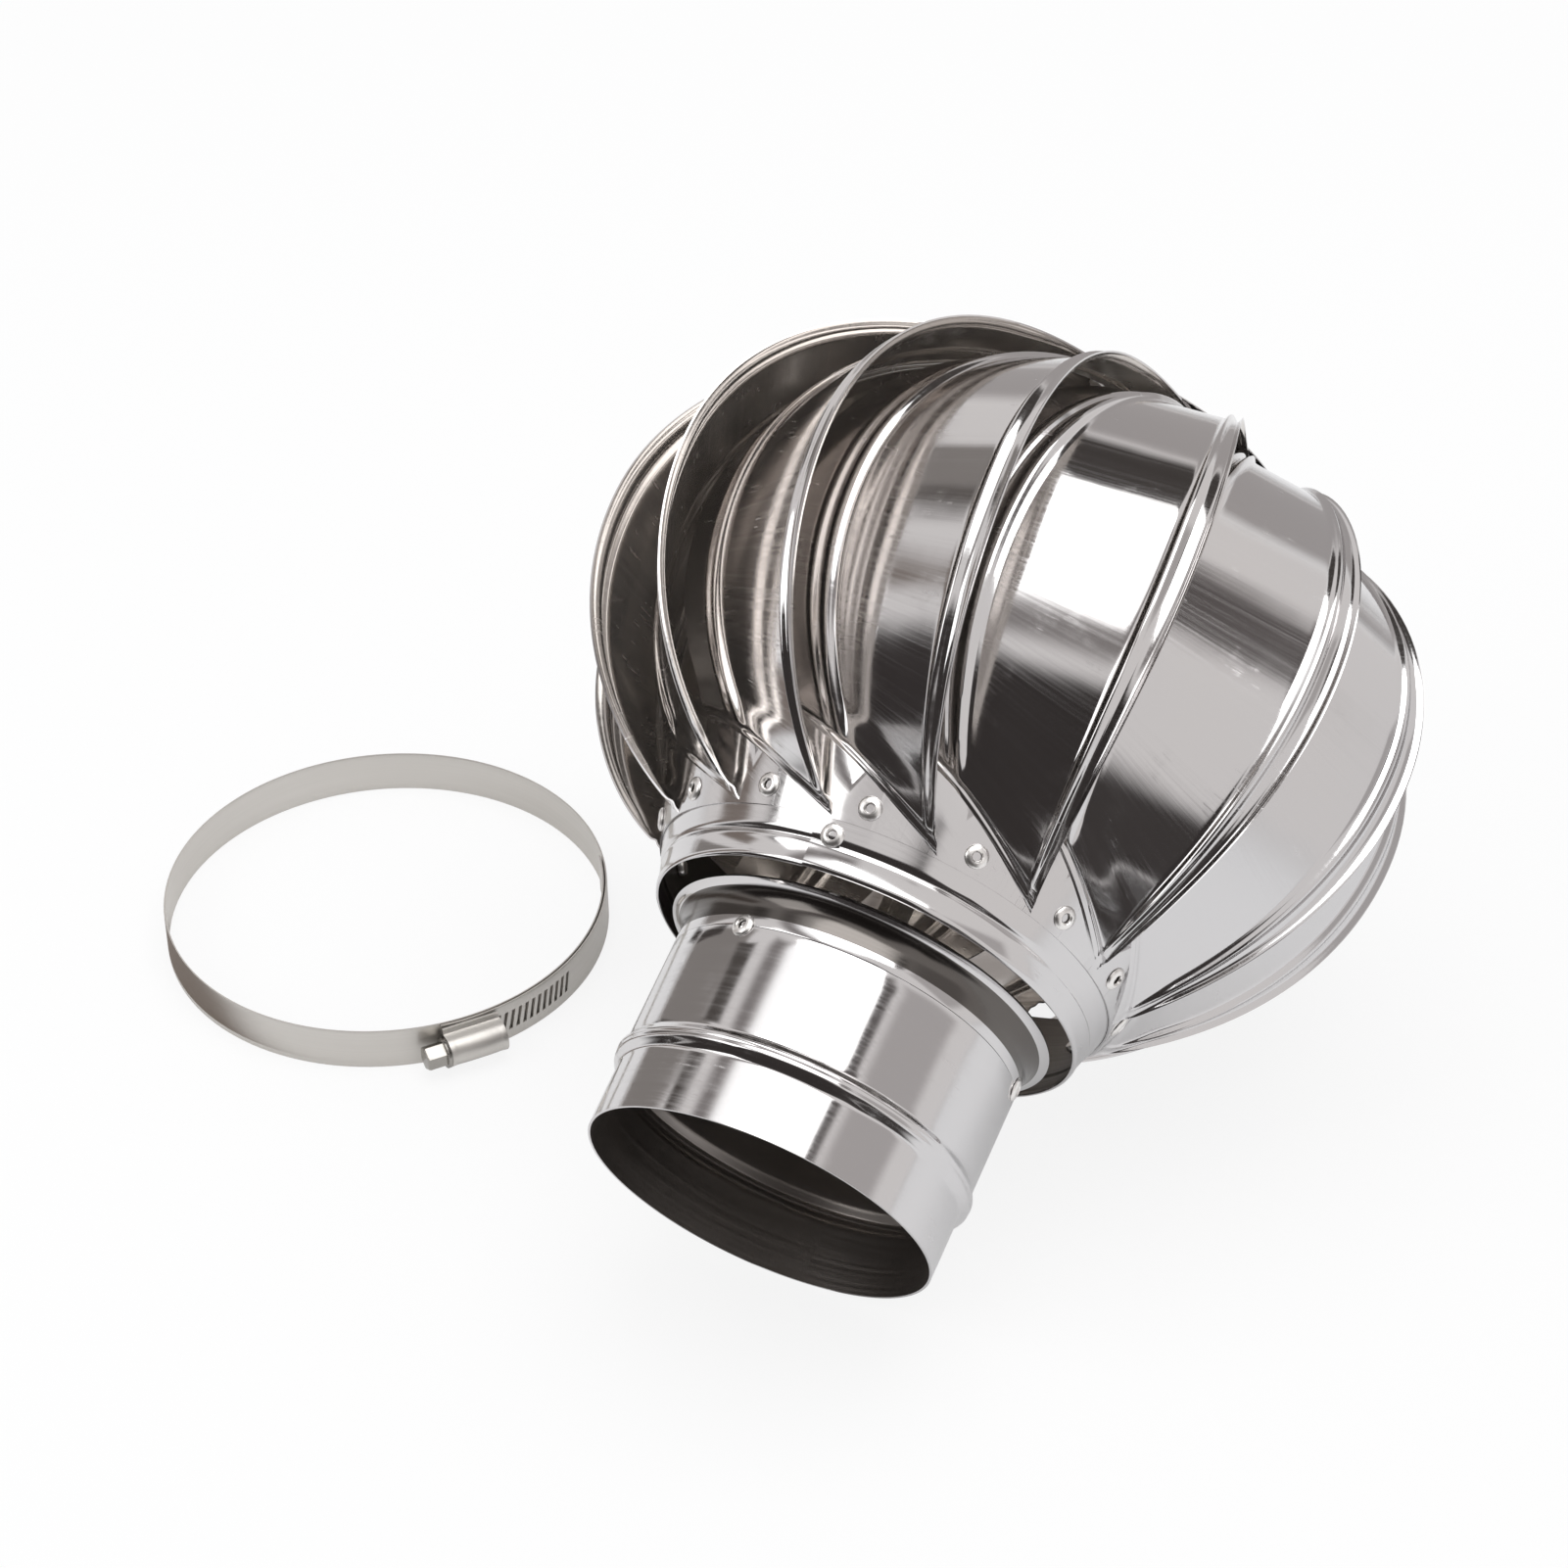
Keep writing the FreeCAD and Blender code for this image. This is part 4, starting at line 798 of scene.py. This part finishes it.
# %% [markdown]
# ## Worm housing
# The housing is a strip folded over the worm like a saddle and spot-welded to the band by its two feet.
# Its section is one outline for each face of the sheet: foot, arc over the worm, foot. It is drawn along
# the worm's axis, pinched a little near its ends, where a groove keeps the screw in place.
# %% Housing
HOUSING = CLAMP @ Matrix.Rotation(math.radians(HOUSING_TURN), 4, "Z")
WORM_RADIUS, MID_HEIGHT = 84.4, BAND_WIDTH / 2
GROOVE_PLACES = (8.0, 8.4)
arc = [math.radians(turn) for turn in np.linspace(-90, 90, 19)]


def saddle(low_foot, arc_radius, high_foot):
    """Section of (radius, height) with an arc over the worm between two feet."""
    over = [(WORM_RADIUS + arc_radius * math.cos(turn), MID_HEIGHT + arc_radius * math.sin(turn))
            for turn in arc]
    return low_foot + over + high_foot


saddle_outer = saddle([(81.12, 0.62), (81.12, 1.6), (81.5, 2.35), (82.6, 2.6)], 5.4,
                      [(82.6, 13.4), (81.5, 13.65), (81.12, 14.4), (81.12, 15.38)])
saddle_inner = saddle([(80.2, 0.62), (80.2, 1.9), (80.5, 3.1), (82.6, 3.6)], 4.4,
                      [(82.6, 12.4), (80.5, 12.9), (80.2, 14.1), (80.2, 15.38)])
one_side = [4, *GROOVE_PLACES, HALF_HOUSING - 0.3, HALF_HOUSING]
stations = [-y for y in reversed(one_side)] + [0] + one_side
front = np.array([[(x, y, z) for x, z in saddle_outer] for y in stations])
back = np.array([[(x, y, z) for x, z in saddle_inner] for y in stations])
for row, y in enumerate(stations):
    pinch = 0.35 if abs(y) in GROOVE_PLACES else (0.2 if abs(y) == HALF_HOUSING else 0)
    front[row, 4:-4, 0] -= pinch * np.abs(np.cos(arc))
housing_uv = np.array([[(y / 1000, z / 1000) for _, z in saddle_outer] for y in stations])
put("worm_saddle", sheet_mesh("worm_saddle", front, back, housing_uv), HOUSING, "clamp", satin_band,
    "clamp_housing")
print("housing", 2 * HALF_HOUSING, "mm long")

# %% [markdown]
# ## Worm screw
# The screw has a plain hexagon head on a flange, and a rolled thread that is a real helix here, because
# its ends show. It is turned like a rivet, but each row of points has its own radius for every angle: a
# constant for the round rows, the thread's wave, or the distance to a hexagon's side.
# %% Screw
WORM = HOUSING @ Matrix.Translation((WORM_RADIUS, 0, MID_HEIGHT))
SCREW_SEGMENTS = 48
HALF_FLATS, CORNER_LEFT = 4.0, 0.985
THREAD_ROOT, THREAD_RISE, THREAD_STEP = 3.3, 0.65, 0.25


def round_rim(size, y, angle):
    """Radius of a round row."""
    return size


def thread_rim(size, y, angle):
    """Radius of the thread's helix at a place along the screw and at an angle."""
    phase = (y / PITCH - angle / (2 * math.pi)) % 1
    crest = math.sin(math.pi * min(max((phase - 0.2) / 0.6, 0), 1))
    return THREAD_ROOT + THREAD_RISE * max(0.0, crest)


def hexagon_rim(size, y, angle):
    """Radius of the hexagon's side at an angle, with its corners taken off a little."""
    side = HALF_FLATS / math.cos((angle + math.pi / 6) % (math.pi / 3) - math.pi / 6)
    return min(side, HALF_FLATS / math.cos(math.pi / 6) * CORNER_LEFT) * size


screw_rows = [(round_rim, 10.4, 0.01), (round_rim, 10.4, 3.2)]
screw_rows += [(thread_rim, 10.3 - THREAD_STEP * count, 0) for count in range(84)]
screw_rows += [(round_rim, -10.62, 3.4), (round_rim, -10.64, 5.3), (round_rim, -10.9, 5.5),
               (round_rim, -11.9, 5.5), (round_rim, -12.1, 5.2), (hexagon_rim, -12.12, 1.0),
               (hexagon_rim, -18.4, 1.0), (hexagon_rim, -18.9, 0.95), (hexagon_rim, -19.1, 0.86),
               (hexagon_rim, -19.12, 0.62), (hexagon_rim, -19.12, 0.01)]
points = []
for rim, y, size in screw_rows:
    for angle in np.linspace(0, 2 * math.pi, SCREW_SEGMENTS, endpoint=False):
        radius = rim(size, y, angle)
        points.append((radius * math.cos(angle), y, radius * math.sin(angle)))
screw_faces = [face[::-1] for face in ring_faces(len(screw_rows), SCREW_SEGMENTS)]
screw_mesh = bpy.data.meshes.new("worm")
screw_mesh.from_pydata(points, [], screw_faces)
screw_mesh.validate()
put("worm", screw_mesh, WORM, "worm", worm_steel, "worm_screw")
print("screw rows", len(screw_rows))

# %% [markdown]
# ## Floor
# Plain white paper. To the camera it glows as plain white for 86 parts in a hundred, so that the
# background is even, and the other 14 are its own shading, which keeps the shadow under the pieces. In
# the metal's mirror only 30 parts glow, so that the undersides show a floor darker than the room.
# %% Floor
CAMERA_GLOW, MIRROR_GLOW = 0.86, 0.3
FLOOR_REACH, FLOOR_GAP = 9.0, 0.0003
floor_material, tree = new_material("floor_white_paper")
path = add(tree, "LightPath").outputs
camera_share = add(tree, "Math", {"operation": "MULTIPLY", 1: CAMERA_GLOW}, {0: path["Is Camera Ray"]})
mirror_share = add(tree, "Math", {"operation": "MULTIPLY", 1: MIRROR_GLOW}, {0: path["Is Glossy Ray"]})
share = add(tree, "Math", {"operation": "ADD"}, {0: camera_share.outputs[0], 1: mirror_share.outputs[0]})
paper = add(tree, "BsdfDiffuse", {"Color": linear("#f7f7f7")}).outputs["BSDF"]
glow = add(tree, "Emission", {"Color": linear("#ffffff"), "Strength": 1.0}).outputs["Emission"]
mixed = add(tree, "MixShader", {}, {0: share.outputs[0], 1: paper, 2: glow}).outputs["Shader"]
add(tree, "OutputMaterial", {}, {"Surface": mixed})
floor_mesh = bpy.data.meshes.new("floor")
floor_corners = [(x * FLOOR_REACH, y * FLOOR_REACH, 0) for x, y in ((-1, -1), (1, -1), (1, 1), (-1, 1))]
floor_mesh.from_pydata(floor_corners, [], [(0, 1, 2, 3)])
floor_mesh.materials.append(floor_material)
floor = new_object("floor", floor_mesh)
floor.location = (0, 0, FLOOR / 1000 - FLOOR_GAP)
print("floor at", round(FLOOR, 2), "mm")

# %% [markdown]
# ## Studio cards
# Polished steel looks like what surrounds it. The room is white, and cards stand round the set as a
# photographer's flags do: a light grey one for the walls, a bright one overhead, dark ones on the
# camera's side and at the back, and narrow ones that draw the lines in the tube and the panels. Each is
# a piece of a sphere, placed by compass and height, and its cloth grows clear towards its edges, so that
# the reflections end softly. Only glossy rays see the cards, so they give the floor no light or shadow.
# %% Cards
CARD_ROWS, CARD_COLUMNS = 31, 61
CARD_CENTRE = Vector((0.12, 0.0, 0.05))
CARD_LOWEST = FLOOR / 1000 + 0.002


def card_mesh(name, azimuths, elevations, distance, fade):
    """Piece of a sphere between two azimuths and two elevations, in degrees about the ventilator.

    Its softness rises from 0 to 1 over some degrees inside its edges. What would lie under the floor is
    laid down on it.
    """
    points, softness = [], []
    for elevation in np.linspace(*elevations, CARD_ROWS):
        for azimuth in np.linspace(*azimuths, CARD_COLUMNS):
            up, turn = math.radians(elevation), math.radians(azimuth)
            way = Vector((math.cos(up) * math.cos(turn), math.cos(up) * math.sin(turn), math.sin(up)))
            reach = min(distance, (CARD_CENTRE.z - CARD_LOWEST) / -way.z) if way.z < 0 else distance
            points.append(CARD_CENTRE + way * reach)
            beside = min(azimuth - azimuths[0], azimuths[1] - azimuth) * math.cos(up)
            inward = min(elevation - elevations[0], elevations[1] - elevation, beside)
            soft = min(max(inward / fade, 0), 1)
            softness.append(soft * soft * (3 - 2 * soft))
    faces = [(a, a + 1, a + CARD_COLUMNS + 1, a + CARD_COLUMNS)
             for row in range(CARD_ROWS - 1)
             for a in range(row * CARD_COLUMNS, (row + 1) * CARD_COLUMNS - 1)]
    mesh = bpy.data.meshes.new(name)
    mesh.from_pydata(points, [], faces)
    mesh.attributes.new("softness", "FLOAT", "POINT").data.foreach_set("value", softness)
    return mesh


def card(name, azimuths, elevations, colour, strength=1.0, distance=2.6, fade=7.0):
    """Card of one colour that only reflections see."""
    mesh = card_mesh(name, azimuths, elevations, distance, fade)
    material, tree = new_material(name + "_cloth")
    soft = add(tree, "Attribute", {"attribute_name": "softness"}).outputs["Fac"]
    glow = add(tree, "Emission", {"Color": linear(colour), "Strength": strength}).outputs["Emission"]
    clear = add(tree, "BsdfTransparent").outputs["BSDF"]
    faded = add(tree, "MixShader", {}, {0: soft, 1: clear, 2: glow}).outputs["Shader"]
    add(tree, "OutputMaterial", {}, {"Surface": faded})
    mesh.materials.append(material)
    piece = new_object(name, mesh)
    for ray in ("camera", "diffuse", "shadow", "transmission"):
        setattr(piece, "visible_" + ray, False)


card("grey_room", (-20, 340), (-6, 66), "#ebe8e7", distance=3.4, fade=5.0)
card("overhead_softbox", (45, 292), (60, 94), "#ffffff", strength=1.5, distance=3.2)
# This dark card lies on the floor under the ventilator as a painted shadow that only the metal's mirror
# sees.
card("floor_shade_left", (35, 205), (-86, -40), "#4b4745", distance=2.4, fade=9.0)
card("grey_gap_left", (60, 178), (48, 64), "#8f8a89", distance=3.0)
card("grey_gap_right", (246, 312), (49, 64), "#7c7776", distance=2.9)
card("grey_wall_right", (256, 306), (9, 50), "#bdb9b8", distance=3.0)
card("dark_camera_side", (113, 217), (-18, 47), "#3b3736", distance=2.6, fade=6.0)
card("dark_low_right", (200, 229), (-20, 19), "#454140", distance=2.5, fade=5.0)
card("grey_back_left", (61, 86), (-6, 38), "#908b88", distance=2.7, fade=3.0)
card("dark_edge_left", (58, 69), (-12, 16), "#4a4543", distance=2.6, fade=3.0)
card("dark_edge_high", (77, 92), (30, 45), "#55504d", distance=2.6, fade=4.0)
card("dark_gap_core", (258, 296), (50, 60), "#5f5a59", distance=2.8, fade=3.5)
card("dark_back", (-22, 44), (38, 70), "#4a4644", distance=2.6, fade=5.0)
card("grey_back_low", (-24, 44), (-8, 40), "#b3afae", distance=2.7, fade=6.0)
card("brown_strip_left", (94, 110), (-30, 30), "#867c76", distance=2.5, fade=4.0)
print("cards placed, each", CARD_ROWS * CARD_COLUMNS, "points")

# %% [markdown]
# ## Light
# One broad overhead softbox and a weaker one from the camera's left light the floor and the satin parts.
# The room is plain white for what the camera and the metal see, and a dimmer grey-white for the rest.
# %% Lamps and room
LAMPS = (
    ("softbox_top", (0.2, -0.2, 2.2), 2.0, 26.0),
    ("softbox_left", (-1.3, 1.4, 1.4), 1.2, 9.0),
)
LIT_POINT = Vector((0.12, 0.05, 0.0))
for name, place, size, energy in LAMPS:
    lamp = bpy.data.lights.new(name, "AREA")
    lamp.shape = "SQUARE"
    lamp.size = size
    lamp.energy = energy
    stand = new_object(name, lamp)
    stand.location = place
    stand.rotation_euler = (LIT_POINT - Vector(place)).to_track_quat("-Z", "Y").to_euler()
world = bpy.data.worlds.new("white_room")
world.use_nodes = True
tree = world.node_tree
tree.nodes.clear()
path = add(tree, "LightPath").outputs
mirror = add(tree, "Math", {"operation": "MAXIMUM"}, {0: path["Is Camera Ray"], 1: path["Is Glossy Ray"]})
seen = add(tree, "Math", {"operation": "MAXIMUM"}, {0: mirror.outputs[0], 1: path["Is Transmission Ray"]})
plain = add(tree, "Background", {"Color": linear("#e4e4e6"), "Strength": 0.7}).outputs["Background"]
white = add(tree, "Background", {"Color": linear("#ffffff"), "Strength": 1.0}).outputs["Background"]
mixed = add(tree, "MixShader", {}, {0: seen.outputs[0], 1: plain, 2: white}).outputs["Shader"]
add(tree, "OutputWorld", {}, {"Surface": mixed})
bpy.context.scene.world = world
bpy.context.scene.view_settings.view_transform = "Standard"
print(len(LAMPS), "lamps, room white to the camera")
